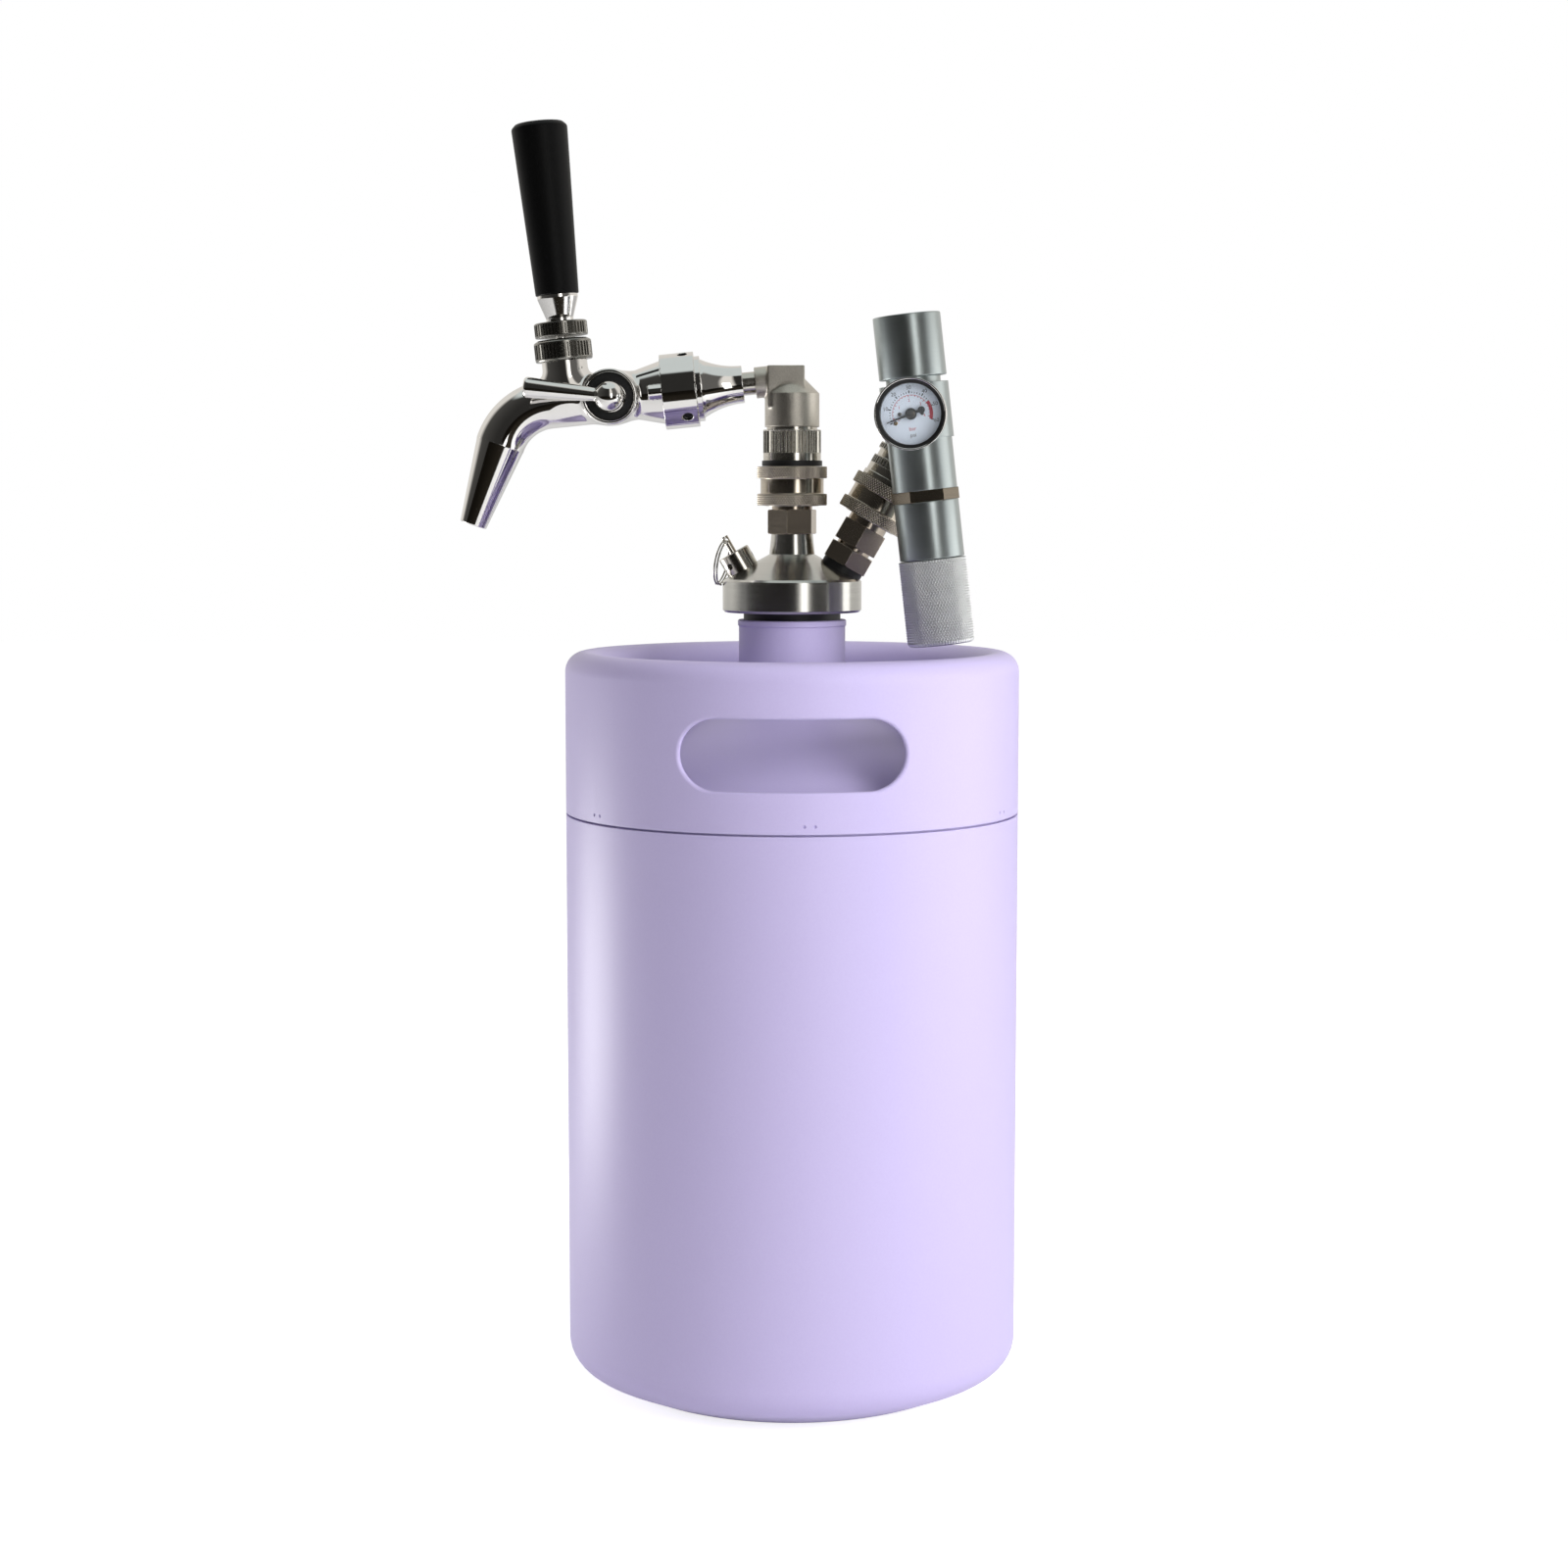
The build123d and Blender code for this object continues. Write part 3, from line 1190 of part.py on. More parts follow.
# Each piece becomes a file of its own name
pieces = {
    "outer_shell": outer_shell,
    "base_plate": base_plate,
    "top_collar": top_collar,
    "shoulder_dome": shoulder_dome,
    "inner_vessel": inner_vessel,
    "keg_neck": keg_neck,
    "cap_gasket": cap_gasket,
    "keg_cap": keg_cap,
    "dip_tube": dip_tube,
    "liquid_post": liquid_post,
    "gas_adapter_oring": gas_adapter_oring,
    "gas_adapter": gas_adapter,
    "gas_post": gas_post,
    "post_orings": post_orings,
    "post_poppets": post_poppets,
    "poppet_springs": poppet_springs,
    "prv_body": prv_body,
    "prv_stem": prv_stem,
    "prv_spring": prv_spring,
    "prv_ring": prv_ring,
    "liquid_disconnect": liquid_disconnect,
    "liquid_lock_balls": liquid_lock_balls,
    "liquid_collar": liquid_collar,
    "liquid_collar_spring": liquid_collar_spring,
    "liquid_stop_ring": liquid_stop_ring,
    "liquid_elbow": liquid_elbow,
    "inlet_tail": inlet_tail,
    "shank_adapter": shank_adapter,
    "shank_washer": shank_washer,
    "coupling_nut": coupling_nut,
    "faucet_body": faucet_body,
    "spout_tip": spout_tip,
    "bonnet_nut": bonnet_nut,
    "handle_lever": handle_lever,
    "handle_lock_nut": handle_lock_nut,
    "handle_ferrule": handle_ferrule,
    "tap_handle": tap_handle,
    "faucet_shaft": faucet_shaft,
    "flow_seal_ring": flow_seal_ring,
    "flow_lever": flow_lever,
    "gas_disconnect": gas_disconnect,
    "gas_lock_balls": gas_lock_balls,
    "gas_collar": gas_collar,
    "gas_collar_spring": gas_collar_spring,
    "gas_elbow": gas_elbow,
    "regulator_body": regulator_body,
    "cartridge_socket": cartridge_socket,
    "piercing_pin": piercing_pin,
    "hex_lock_nut": hex_lock_nut,
    "spring_tube": spring_tube,
    "diaphragm": diaphragm,
    "spring_plate": spring_plate,
    "regulator_spring": regulator_spring,
    "adjusting_knob": adjusting_knob,
    "gauge_case": gauge_case,
    "bourdon_tube": bourdon_tube,
    "gauge_dial": gauge_dial,
    "gauge_lens": gauge_lens,
    "gauge_bezel": gauge_bezel,
    "gauge_needle": gauge_needle,
}
os.makedirs("parts", exist_ok=True)
for label, piece in pieces.items():
    piece.part.label = label
    export_step(piece.part, f"parts/{label}.step")
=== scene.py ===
import json
import math
import bpy
import numpy as np
from mathutils import Matrix, Vector


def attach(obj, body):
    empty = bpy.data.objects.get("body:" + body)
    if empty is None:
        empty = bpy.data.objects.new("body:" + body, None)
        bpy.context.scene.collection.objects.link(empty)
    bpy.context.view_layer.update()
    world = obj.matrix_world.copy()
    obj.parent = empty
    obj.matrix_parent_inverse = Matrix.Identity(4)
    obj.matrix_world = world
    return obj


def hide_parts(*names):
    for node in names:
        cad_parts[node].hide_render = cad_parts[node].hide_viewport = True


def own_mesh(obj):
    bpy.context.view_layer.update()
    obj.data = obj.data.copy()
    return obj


# Looks of the insulated mini keg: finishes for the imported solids, and finer pieces for turned,
# knurled, ribbed, cast and polished metal. Sizes are in millimetres until a mesh is made.

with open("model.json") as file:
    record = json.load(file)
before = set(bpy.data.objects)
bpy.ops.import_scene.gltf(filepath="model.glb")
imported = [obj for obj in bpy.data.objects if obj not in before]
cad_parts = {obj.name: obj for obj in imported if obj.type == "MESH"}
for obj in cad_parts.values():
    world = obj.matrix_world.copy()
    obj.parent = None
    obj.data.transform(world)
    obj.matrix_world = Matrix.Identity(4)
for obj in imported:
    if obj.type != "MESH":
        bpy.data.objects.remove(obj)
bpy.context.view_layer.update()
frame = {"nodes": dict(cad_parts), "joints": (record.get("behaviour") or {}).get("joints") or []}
nodes = frame["nodes"]
joints = {joint["name"]: joint for joint in frame["joints"]}
MM = 0.001


# Places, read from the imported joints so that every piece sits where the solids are
def axis_frame(origin, z_dir, x_dir):
    """Give a 4 by 4 matrix, in millimetres, with Z along an axis and X near a chosen direction."""
    z = Vector(z_dir).normalized()
    y = z.cross(Vector(x_dir)).normalized()
    x = y.cross(z)
    matrix = Matrix((x, y, z)).transposed().to_4x4()
    matrix.translation = Vector(origin)
    return matrix


def joint_frame(name, x_dir):
    """Give the frame of a joint: its place in millimetres, its axis as Z and a chosen X."""
    joint = joints[name]
    return axis_frame(Vector(joint["pos_m"]) / MM, joint["axis"], x_dir)


def along(matrix, distance):
    """Move a frame along its own Z."""
    return matrix @ Matrix.Translation((0, 0, distance))


# Distances that the joints don't give, as in the solids: the tap's axis above the liquid disconnect, the
# lever's pivot above that axis, the hub, stem and bend along it, and the spring tube's end.
OUTLET_RISE = 49.5
LEVER_PIVOT = 8.0
HUB_PLACE = 71.5
STEM_PLACE = 88.45
BEND_START = 95.8
BEND_RADIUS = 23.5
BEND_TURN = math.radians(65)
SPRING_TUBE_END = 46.2
LIQUID = joint_frame("tap_swivel", (1, 0, 0))
GAS = joint_frame("regulator_swivel", (0, -1, 0))
TAP_AXIS = -Vector(joints["shaft_draw"]["axis"])
TAP_UP = Vector((TAP_AXIS.z, 0, -TAP_AXIS.x))
TAP_ORIGIN = along(LIQUID, OUTLET_RISE).translation
TAP = axis_frame(TAP_ORIGIN, TAP_AXIS, TAP_UP)
STEM = axis_frame(TAP_ORIGIN + TAP_AXIS * STEM_PLACE, TAP_UP, TAP_AXIS)
HUB = axis_frame(TAP_ORIGIN + TAP_AXIS * HUB_PLACE, (0, -1, 0), TAP_AXIS)
BEND_CENTRE = TAP_ORIGIN + TAP_AXIS * BEND_START - TAP_UP * BEND_RADIUS
SPOUT_AXIS = TAP_AXIS * math.cos(BEND_TURN) - TAP_UP * math.sin(BEND_TURN)
SPOUT_RADIAL = TAP_UP * math.cos(BEND_TURN) + TAP_AXIS * math.sin(BEND_TURN)
SPOUT = axis_frame(BEND_CENTRE + SPOUT_RADIAL * BEND_RADIUS, SPOUT_AXIS, (0, 1, 0))
REGULATOR = along(joint_frame("knob_turn", (1, 0, 0)), SPRING_TUBE_END)
REGULATOR_UP = Vector(joints["knob_turn"]["axis"])
GAUGE_AXIS = -Vector(joints["needle_sweep"]["axis"])
GAUGE_CENTRE = Vector(joints["needle_sweep"]["pos_m"]) / MM
GAUGE = axis_frame(GAUGE_CENTRE, GAUGE_AXIS, REGULATOR_UP.cross(GAUGE_AXIS))


# Nodes of a material
def linear(hex_code):
    """Turn an sRGB hex value to the linear colour that shaders take."""
    parts = [int(hex_code[i:i + 2], 16) / 255 for i in (1, 3, 5)]
    return tuple(p / 12.92 if p <= 0.04045 else ((p + 0.055) / 1.055) ** 2.4 for p in parts) + (1.0,)


def add(tree, kind, links=None, **settings):
    """Add a node with its settings; links gives each socket a value or another node's socket."""
    made = tree.nodes.new(kind)
    for name, value in settings.items():
        setattr(made, name, value)
    for socket, value in (links or {}).items():
        if isinstance(value, bpy.types.NodeSocket):
            tree.links.new(value, made.inputs[socket])
        else:
            made.inputs[socket].default_value = value
    return made


def material(name, colour, metallic, roughness, **sockets):
    """Start a material: its shader with constant values set on the shader's own sockets."""
    made = bpy.data.materials.new(name)
    made.use_nodes = True
    tree = made.node_tree
    shader = tree.nodes["Principled BSDF"]
    shader.inputs["Base Color"].default_value = linear(colour)
    shader.inputs["Metallic"].default_value = metallic
    shader.inputs["Roughness"].default_value = roughness
    for socket, value in sockets.items():
        shader.inputs[socket.replace("_", " ")].default_value = value
    return made, tree, shader


def specks(tree, size, detail=2.0, rough=0.5):
    """Give a soft pattern of spots of a real size in millimetres."""
    coords = add(tree, "ShaderNodeTexCoord").outputs["Object"]
    scaled = add(tree, "ShaderNodeVectorMath", {0: coords, 3: 1 / (size * MM)}, operation="SCALE").outputs[0]
    return add(tree, "ShaderNodeTexNoise", {"Vector": scaled, "Scale": 1.0, "Detail": detail,
                                            "Roughness": rough}).outputs["Fac"]


def tool_rings(tree, pitch):
    """Give lathe rings about the piece's Z axis, a pitch in millimetres apart and nearly even around it."""
    coords = add(tree, "ShaderNodeTexCoord").outputs["Object"]
    split = add(tree, "ShaderNodeSeparateXYZ", {0: coords}).outputs
    flat = add(tree, "ShaderNodeCombineXYZ", {0: split[0], 1: split[1]}).outputs[0]
    radius = add(tree, "ShaderNodeVectorMath", {0: flat}, operation="LENGTH").outputs["Value"]
    drift = add(tree, "ShaderNodeVectorMath", {0: flat, 3: 0.02}, operation="SCALE").outputs[0]
    rings = add(tree, "ShaderNodeCombineXYZ", {0: radius, 2: split[2]}).outputs[0]
    both = add(tree, "ShaderNodeVectorMath", {0: rings, 1: drift}, operation="ADD").outputs[0]
    scaled = add(tree, "ShaderNodeVectorMath", {0: both, 3: 1 / (pitch * MM)}, operation="SCALE").outputs[0]
    return add(tree, "ShaderNodeTexNoise", {"Vector": scaled, "Scale": 1.0, "Detail": 3.0,
                                            "Roughness": 0.6}).outputs["Fac"]


def dress(tree, shader, pattern, colours, roughness, depth, ease=0.0):
    """Let one pattern drive colour, roughness and relief; ease rounds sharp edges for the light."""
    first, second = colours
    mixed = add(tree, "ShaderNodeMix", {0: pattern, 6: linear(first), 7: linear(second)}, data_type="RGBA")
    tree.links.new(mixed.outputs[2], shader.inputs["Base Color"])
    spread = add(tree, "ShaderNodeMapRange", {0: pattern, 3: roughness[0], 4: roughness[1]})
    tree.links.new(spread.outputs[0], shader.inputs["Roughness"])
    relief = add(tree, "ShaderNodeBump", {"Distance": depth * MM, "Height": pattern})
    if ease:
        edge = add(tree, "ShaderNodeBevel", {"Radius": ease * MM}, samples=6)
        tree.links.new(edge.outputs[0], relief.inputs["Normal"])
    tree.links.new(relief.outputs[0], shader.inputs["Normal"])


# Finishes
def powder_coat():
    """Satin polyester powder coat, sprayed and baked: an even lilac over a faint orange peel."""
    made, tree, shader = material("lilac_powder_coat", "#C4B9E3", 0.0, 0.42, IOR=1.5)
    # The real peel is about 0.4 mm; it is drawn at 0.8 mm so that it still shows in the render.
    peel = specks(tree, 0.8, detail=3.0)
    dress(tree, shader, peel, ("#C1B5E1", "#C7BDE5"), (0.36, 0.44), 0.012, ease=0.5)
    return made


def turned_steel(name, colours, roughness, pitch, depth, ease=0.25):
    """Steel or aluminium off the lathe: fine rings that draw each reflection out along the axis."""
    made, tree, shader = material(name, colours[0], 1.0, roughness, Anisotropic=0.55,
                                  Anisotropic_Rotation=0.25)
    around = add(tree, "ShaderNodeTangent", direction_type="RADIAL", axis="Z")
    tree.links.new(around.outputs[0], shader.inputs["Tangent"])
    # The real rings are about 0.1 mm apart; they are drawn at 0.5 mm and more so that they show.
    rings = tool_rings(tree, pitch)
    dress(tree, shader, rings, colours, (roughness * 0.75, roughness * 1.35), depth, ease)
    return made


def polished_metal(name, colours, roughness):
    """Polished or plated metal: a mirror with the faintest waviness and handling marks."""
    made, tree, shader = material(name, colours[0], 1.0, roughness)
    smears = specks(tree, 4.0, detail=4.0, rough=0.65)
    dress(tree, shader, smears, colours, (roughness * 0.6, roughness * 1.6), 0.0004)
    return made


def cast_steel():
    """Investment cast stainless, bead blasted: a dull grey skin with fine pits."""
    made, tree, shader = material("cast_stainless", "#C2BDB3", 1.0, 0.38)
    # The real pits are about 0.2 mm wide; they are drawn at 0.5 mm so that they show.
    grit = specks(tree, 0.5, detail=4.0, rough=0.75)
    dress(tree, shader, grit, ("#9C978E", "#E0DBD0"), (0.28, 0.46), 0.09)
    return made


def moulded_plastic(name, colours, roughness, gloss=0.5):
    """Moulded plastic, rubber or print with a spark-eroded grain."""
    made, tree, shader = material(name, colours[0], 0.0, roughness, IOR=1.5, Specular_IOR_Level=gloss)
    # The real grain is about 0.1 mm; it is drawn at 0.33 mm so that it shows.
    grain = specks(tree, 0.33, detail=3.0)
    dress(tree, shader, grain, colours, (roughness - 0.06, roughness + 0.08), 0.006)
    return made


def clear_acrylic():
    """Thin clear acrylic window: almost unseen, with a slight sheen."""
    made, tree, shader = material("clear_acrylic", "#E8EEF4", 0.0, 0.04, IOR=1.49, Alpha=0.04)
    haze = specks(tree, 3.0, detail=3.0)
    spread = add(tree, "ShaderNodeMapRange", {0: haze, 3: 0.02, 4: 0.07})
    tree.links.new(spread.outputs[0], shader.inputs["Roughness"])
    return made


COAT = powder_coat()
CAP_STEEL = turned_steel("turned_cap_stainless", ("#B8B7B2", "#CAC9C4"), 0.2, 0.5, 0.003)
POST_STEEL = turned_steel("warm_post_stainless", ("#A3988B", "#B8AD9F"), 0.18, 0.6, 0.005, ease=0.35)
MACHINED = turned_steel("machined_stainless", ("#BCB8AF", "#CCC8BF"), 0.16, 0.5, 0.0015)
COLLAR_STEEL = turned_steel("nickel_collar_steel", ("#AEA597", "#BCB3A5"), 0.16, 0.5, 0.001)
NUT_STEEL = turned_steel("brown_nut_steel", ("#857B6D", "#978C7D"), 0.16, 0.8, 0.003, ease=0.3)
SATIN = turned_steel("satin_turned_aluminium", ("#A6AEAE", "#B0B8B8"), 0.34, 0.5, 0.001, ease=0.4)
CAST = cast_steel()
POLISHED = polished_metal("polished_stainless", ("#DCDAD7", "#E2E0DD"), 0.05)
DARK_CHROME = polished_metal("black_nickel_plate", ("#86847F", "#94928C"), 0.2)
KNURLED = polished_metal("knurled_aluminium", ("#E4E6E6", "#ECEEEE"), 0.4)
SPRING = polished_metal("drawn_steel_wire", ("#B2AFA8", "#BEBBB4"), 0.16)
SHEET_STEEL = polished_metal("plain_stainless_sheet", ("#B1B1AF", "#BBBBB9"), 0.3)
BRASS = polished_metal("plain_brass", ("#C39C52", "#CFA85D"), 0.22)
RUBBER = moulded_plastic("black_nitrile_rubber", ("#0A0A0B", "#121213"), 0.5)
BLACK_PLASTIC = moulded_plastic("black_phenolic_handle", ("#050505", "#0A0A0A"), 0.45, gloss=0.12)
DIAL_BLACK = moulded_plastic("black_dial_print", ("#0C0C0E", "#151517"), 0.5, gloss=0.2)
DIAL_RED = moulded_plastic("red_dial_print", ("#A8102C", "#B81A36"), 0.5, gloss=0.2)
DIAL_WHITE = moulded_plastic("white_dial_enamel", ("#D4DFEE", "#DCE5F1"), 0.4, gloss=0.3)
ACRYLIC = clear_acrylic()

node_finishes = {
    COAT: "outer_shell base_plate top_collar shoulder_dome keg_neck",
    SHEET_STEEL: "inner_vessel dip_tube spring_plate",
    CAP_STEEL: "keg_cap",
    RUBBER: "cap_gasket gas_adapter_oring post_orings liquid_stop_ring shank_washer flow_seal_ring "
            "diaphragm",
    POST_STEEL: "liquid_post gas_post gas_adapter",
    SPRING: "poppet_springs prv_spring prv_ring liquid_lock_balls gas_lock_balls liquid_collar_spring "
            "gas_collar_spring regulator_spring",
    MACHINED: "prv_body prv_stem liquid_disconnect gas_disconnect inlet_tail faucet_shaft piercing_pin",
    COLLAR_STEEL: "liquid_collar gas_collar",
    CAST: "liquid_elbow gas_elbow",
    POLISHED: "shank_adapter coupling_nut faucet_body spout_tip handle_lever handle_ferrule flow_lever "
              "gauge_case gauge_bezel",
    DARK_CHROME: "bonnet_nut handle_lock_nut",
    BLACK_PLASTIC: "tap_handle post_poppets",
    SATIN: "regulator_body cartridge_socket spring_tube",
    NUT_STEEL: "hex_lock_nut",
    KNURLED: "adjusting_knob",
    BRASS: "bourdon_tube",
    DIAL_WHITE: "gauge_dial",
    ACRYLIC: "gauge_lens",
    DIAL_BLACK: "gauge_needle",
}
for finish, labels in node_finishes.items():
    for label in labels.split():
        slots = nodes[label].data.materials
        slots.clear()
        slots.append(finish)


# Meshes
def piece(name, matrix, points, faces, finish, body, replaced, angle=32, normals=None):
    """Make a piece in its own frame, smooth except at sharp edges, riding on a body."""
    mesh = bpy.data.meshes.new(name)
    mesh.from_pydata([tuple(p * MM for p in point) for point in points], [], faces)
    mesh.materials.append(finish)
    for face in mesh.polygons:
        face.use_smooth = True
    if normals is None:
        mesh.set_sharp_from_angle(angle=math.radians(angle))
    else:
        mesh.normals_split_custom_set_from_vertices(normals)
    made = bpy.data.objects.new(name, mesh)
    bpy.context.scene.collection.objects.link(made)
    scaled = matrix.copy()
    scaled.translation = matrix.translation * MM
    made.matrix_world = scaled
    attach(made, body)
    if replaced:
        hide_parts(*replaced)
    return made


def rounded(outline, steps=5):
    """Round the corners of a closed (radius, height, corner) outline with small arcs."""
    result = []
    count = len(outline)
    for index, (r, z, corner) in enumerate(outline):
        here = Vector((r, z))
        if corner <= 0:
            result.append((r, z))
            continue
        before = Vector(outline[index - 1][:2]) - here
        after = Vector(outline[(index + 1) % count][:2]) - here
        half = before.angle(after) / 2
        reach = min(corner / math.tan(half), 0.49 * before.length, 0.49 * after.length)
        start = here + before.normalized() * reach
        end = here + after.normalized() * reach
        for step in range(steps + 1):
            share = step / steps
            spot = start * (1 - share) ** 2 + here * 2 * share * (1 - share) + end * share ** 2
            result.append((spot.x, spot.y))
    return result


def lathe(name, matrix, outline, finish, body, replaced, around=144, press=None, steps=5, angle=32):
    """Turn a closed outline of (radius, height, corner radius) about the frame's Z, with any relief."""
    loop = rounded(outline, steps)
    points = []
    for spin in range(around):
        turn = 2 * math.pi * spin / around
        for r, z in loop:
            reach = r + (press(turn, r, z) if press else 0.0)
            points.append((reach * math.cos(turn), reach * math.sin(turn), z))
    count = len(loop)
    faces = []
    for spin in range(around):
        this, other = spin * count, (spin + 1) % around * count
        for step in range(count):
            follow = (step + 1) % count
            if loop[step][0] < 1e-6 and loop[follow][0] < 1e-6:
                continue
            faces.append((this + step, other + step, other + follow, this + follow))
    return piece(name, matrix, points, faces, finish, body, replaced, angle)


def straight(radius, low, high, rows):
    """Give the rows of a band whose relief needs points all the way up."""
    return [(radius, low + (high - low) * row / rows, 0) for row in range(rows + 1)]


def toothed(radius, low, high, run):
    """Give the rows of a band whose teeth begin and end within a short run."""
    return [(radius, low, 0), (radius, low + run, 0), (radius, high - run, 0), (radius, high, 0)]


def teeth(count, depth, floor, low, high):
    """Straight teeth: flat crests, sloping flanks and flat roots, on points outside a floor radius."""
    def press(turn, r, z):
        if r < floor or not low < z < high:
            return 0.0
        wave = abs(turn * count / (2 * math.pi) % 1 - 0.5) * 2
        return -depth * (1 - min(1.0, max(0.0, (wave - 0.25) / 0.5)))
    return press


def diamonds(count, pitch, depth, floor):
    """Diamond knurl: crossing V grooves that leave pyramids, on points outside a floor radius."""
    def press(turn, r, z):
        if r < floor:
            return 0.0
        across, up = turn * count / (2 * math.pi), z / pitch
        one = abs((across + up) % 1 - 0.5) * 2
        other = abs((across - up) % 1 - 0.5) * 2
        return -depth * (1 - min(one, other))
    return press


# Distance fields, for skins that flow into each other as castings and polished tubes do
def polygon(x, y, loop):
    """Signed distance to a closed polygon, below 0 inside."""
    best = np.full(x.shape, 1e9)
    sign = np.ones(x.shape)
    for (ax, ay), (bx, by) in zip(loop, loop[1:] + loop[:1]):
        ex, ey = bx - ax, by - ay
        wx, wy = x - ax, y - ay
        share = np.clip((wx * ex + wy * ey) / (ex * ex + ey * ey), 0, 1)
        best = np.minimum(best, (wx - ex * share) ** 2 + (wy - ey * share) ** 2)
        above, below, left = y >= ay, y < by, ex * wy > ey * wx
        sign = np.where((above & below & left) | (~above & ~below & ~left), -sign, sign)
    return sign * np.sqrt(best)


def turned(radial, height, outline):
    """Distance to a solid turned from an outline that starts and ends on the axis."""
    return polygon(radial, height, outline + [(-r, z) for r, z in reversed(outline) if r > 0])


def cylinder(radial, height, radius, low, high):
    """Distance to a plain round bar."""
    return turned(radial, height, [(0, low), (radius, low), (radius, high), (0, high)])


def melt(one, other, width):
    """Join two solids with a fillet of about that width."""
    share = np.clip(0.5 + 0.5 * (other - one) / width, 0, 1)
    return other * (1 - share) + one * share - width * share * (1 - share)


def carve(solid, tool, width):
    """Cut a tool out of a solid, with the edge eased."""
    return -melt(-solid, tool, width)


def skin(name, matrix, field, low, high, step, finish, body, replaced):
    """Make the surface where a field is 0, with a point in each crossed cell and its own normals."""
    axes = [np.arange(a, b + step, step) for a, b in zip(low, high)]
    values = field(*np.meshgrid(*axes, indexing="ij"))
    inside = values < 0
    shape = np.array(values.shape) - 1
    total = np.zeros(tuple(shape) + (3,))
    hits = np.zeros(tuple(shape))
    crossings = []
    for axis in range(3):
        a = [slice(None)] * 3
        b = [slice(None)] * 3
        a[axis], b[axis] = slice(0, -1), slice(1, None)
        a, b = tuple(a), tuple(b)
        cut = inside[a] != inside[b]
        where = np.argwhere(cut)
        share = values[a][cut] / (values[a][cut] - values[b][cut])
        spot = where.astype(float)
        spot[:, axis] += share
        others = [k for k in range(3) if k != axis]
        for i in (0, 1):
            for j in (0, 1):
                cell = where.copy()
                cell[:, others[0]] -= i
                cell[:, others[1]] -= j
                good = np.all((cell >= 0) & (cell < shape), axis=1)
                np.add.at(total, tuple(cell[good].T), spot[good])
                np.add.at(hits, tuple(cell[good].T), 1)
        crossings.append((axis, where, inside[a][cut]))
    number = np.full(tuple(shape), -1)
    active = hits > 0
    number[active] = np.arange(active.sum())
    points = total[active] / hits[active][:, None] * step + np.array(low)

    def gradient(at):
        reach = step * 0.05
        slopes = []
        for axis in range(3):
            shift = np.zeros(3)
            shift[axis] = reach
            slopes.append(field(*(at + shift).T) - field(*(at - shift).T))
        return np.stack(slopes, -1) / (2 * reach)

    for _ in range(3):
        slope = gradient(points)
        size = np.maximum((slope ** 2).sum(-1), 0.05)
        move = np.clip(field(*points.T) / size, -step, step)
        points = points - slope * move[:, None]
    slope = gradient(points)
    normals = slope / np.maximum(np.linalg.norm(slope, axis=1), 1e-9)[:, None]
    faces = []
    for axis, where, starts_inside in crossings:
        u, v = (axis + 1) % 3, (axis + 2) % 3
        corners = []
        for i, j in ((0, 0), (1, 0), (1, 1), (0, 1)):
            cell = where.copy()
            cell[:, u] -= i
            cell[:, v] -= j
            cell = np.clip(cell, 0, shape - 1)
            corners.append(number[tuple(cell.T)])
        quads = np.stack(corners, -1)
        quads[~starts_inside] = quads[~starts_inside][:, ::-1]
        faces.append(quads)
    quads = np.concatenate(faces)
    quads = quads[np.all(quads >= 0, axis=1)]
    return piece(name, matrix, points.tolist(), quads.tolist(), finish, body, replaced,
                 normals=[tuple(n) for n in normals])


# Sizes that two or more pieces share
FLANGE = 11.4
FLANGE_LOW = 15.5
SPLINES = 48
SPLINE_DEPTH = 0.6
SPLINE_RUN = 0.1
STUB_LOW = 30.8
STUB_TOP = 39.8
DRINK_BORE = 3.2
ELBOW_BARREL = 10.75
ELBOW_CROWN = 5.5
ELBOW_SOCKET = 7.05
ELBOW_SOCKET_TOP = 39.85
TAIL = 4.5
TAIL_SOCKET = 4.55
TAIL_BORE = 2.8
TAIL_START = 8.5
TAIL_END = 24.5
SPOUT_BORE = 5.6
RIBS = 44
RIB_DEPTH = 0.75
RIB_RUN = 0.02
LEVER_BORE = 2.55
FERRULE_LOW = 31.4
FERRULE_TOP = 42.0
# How far a cutting tool runs past the metal that it cuts
PAST = 1.0


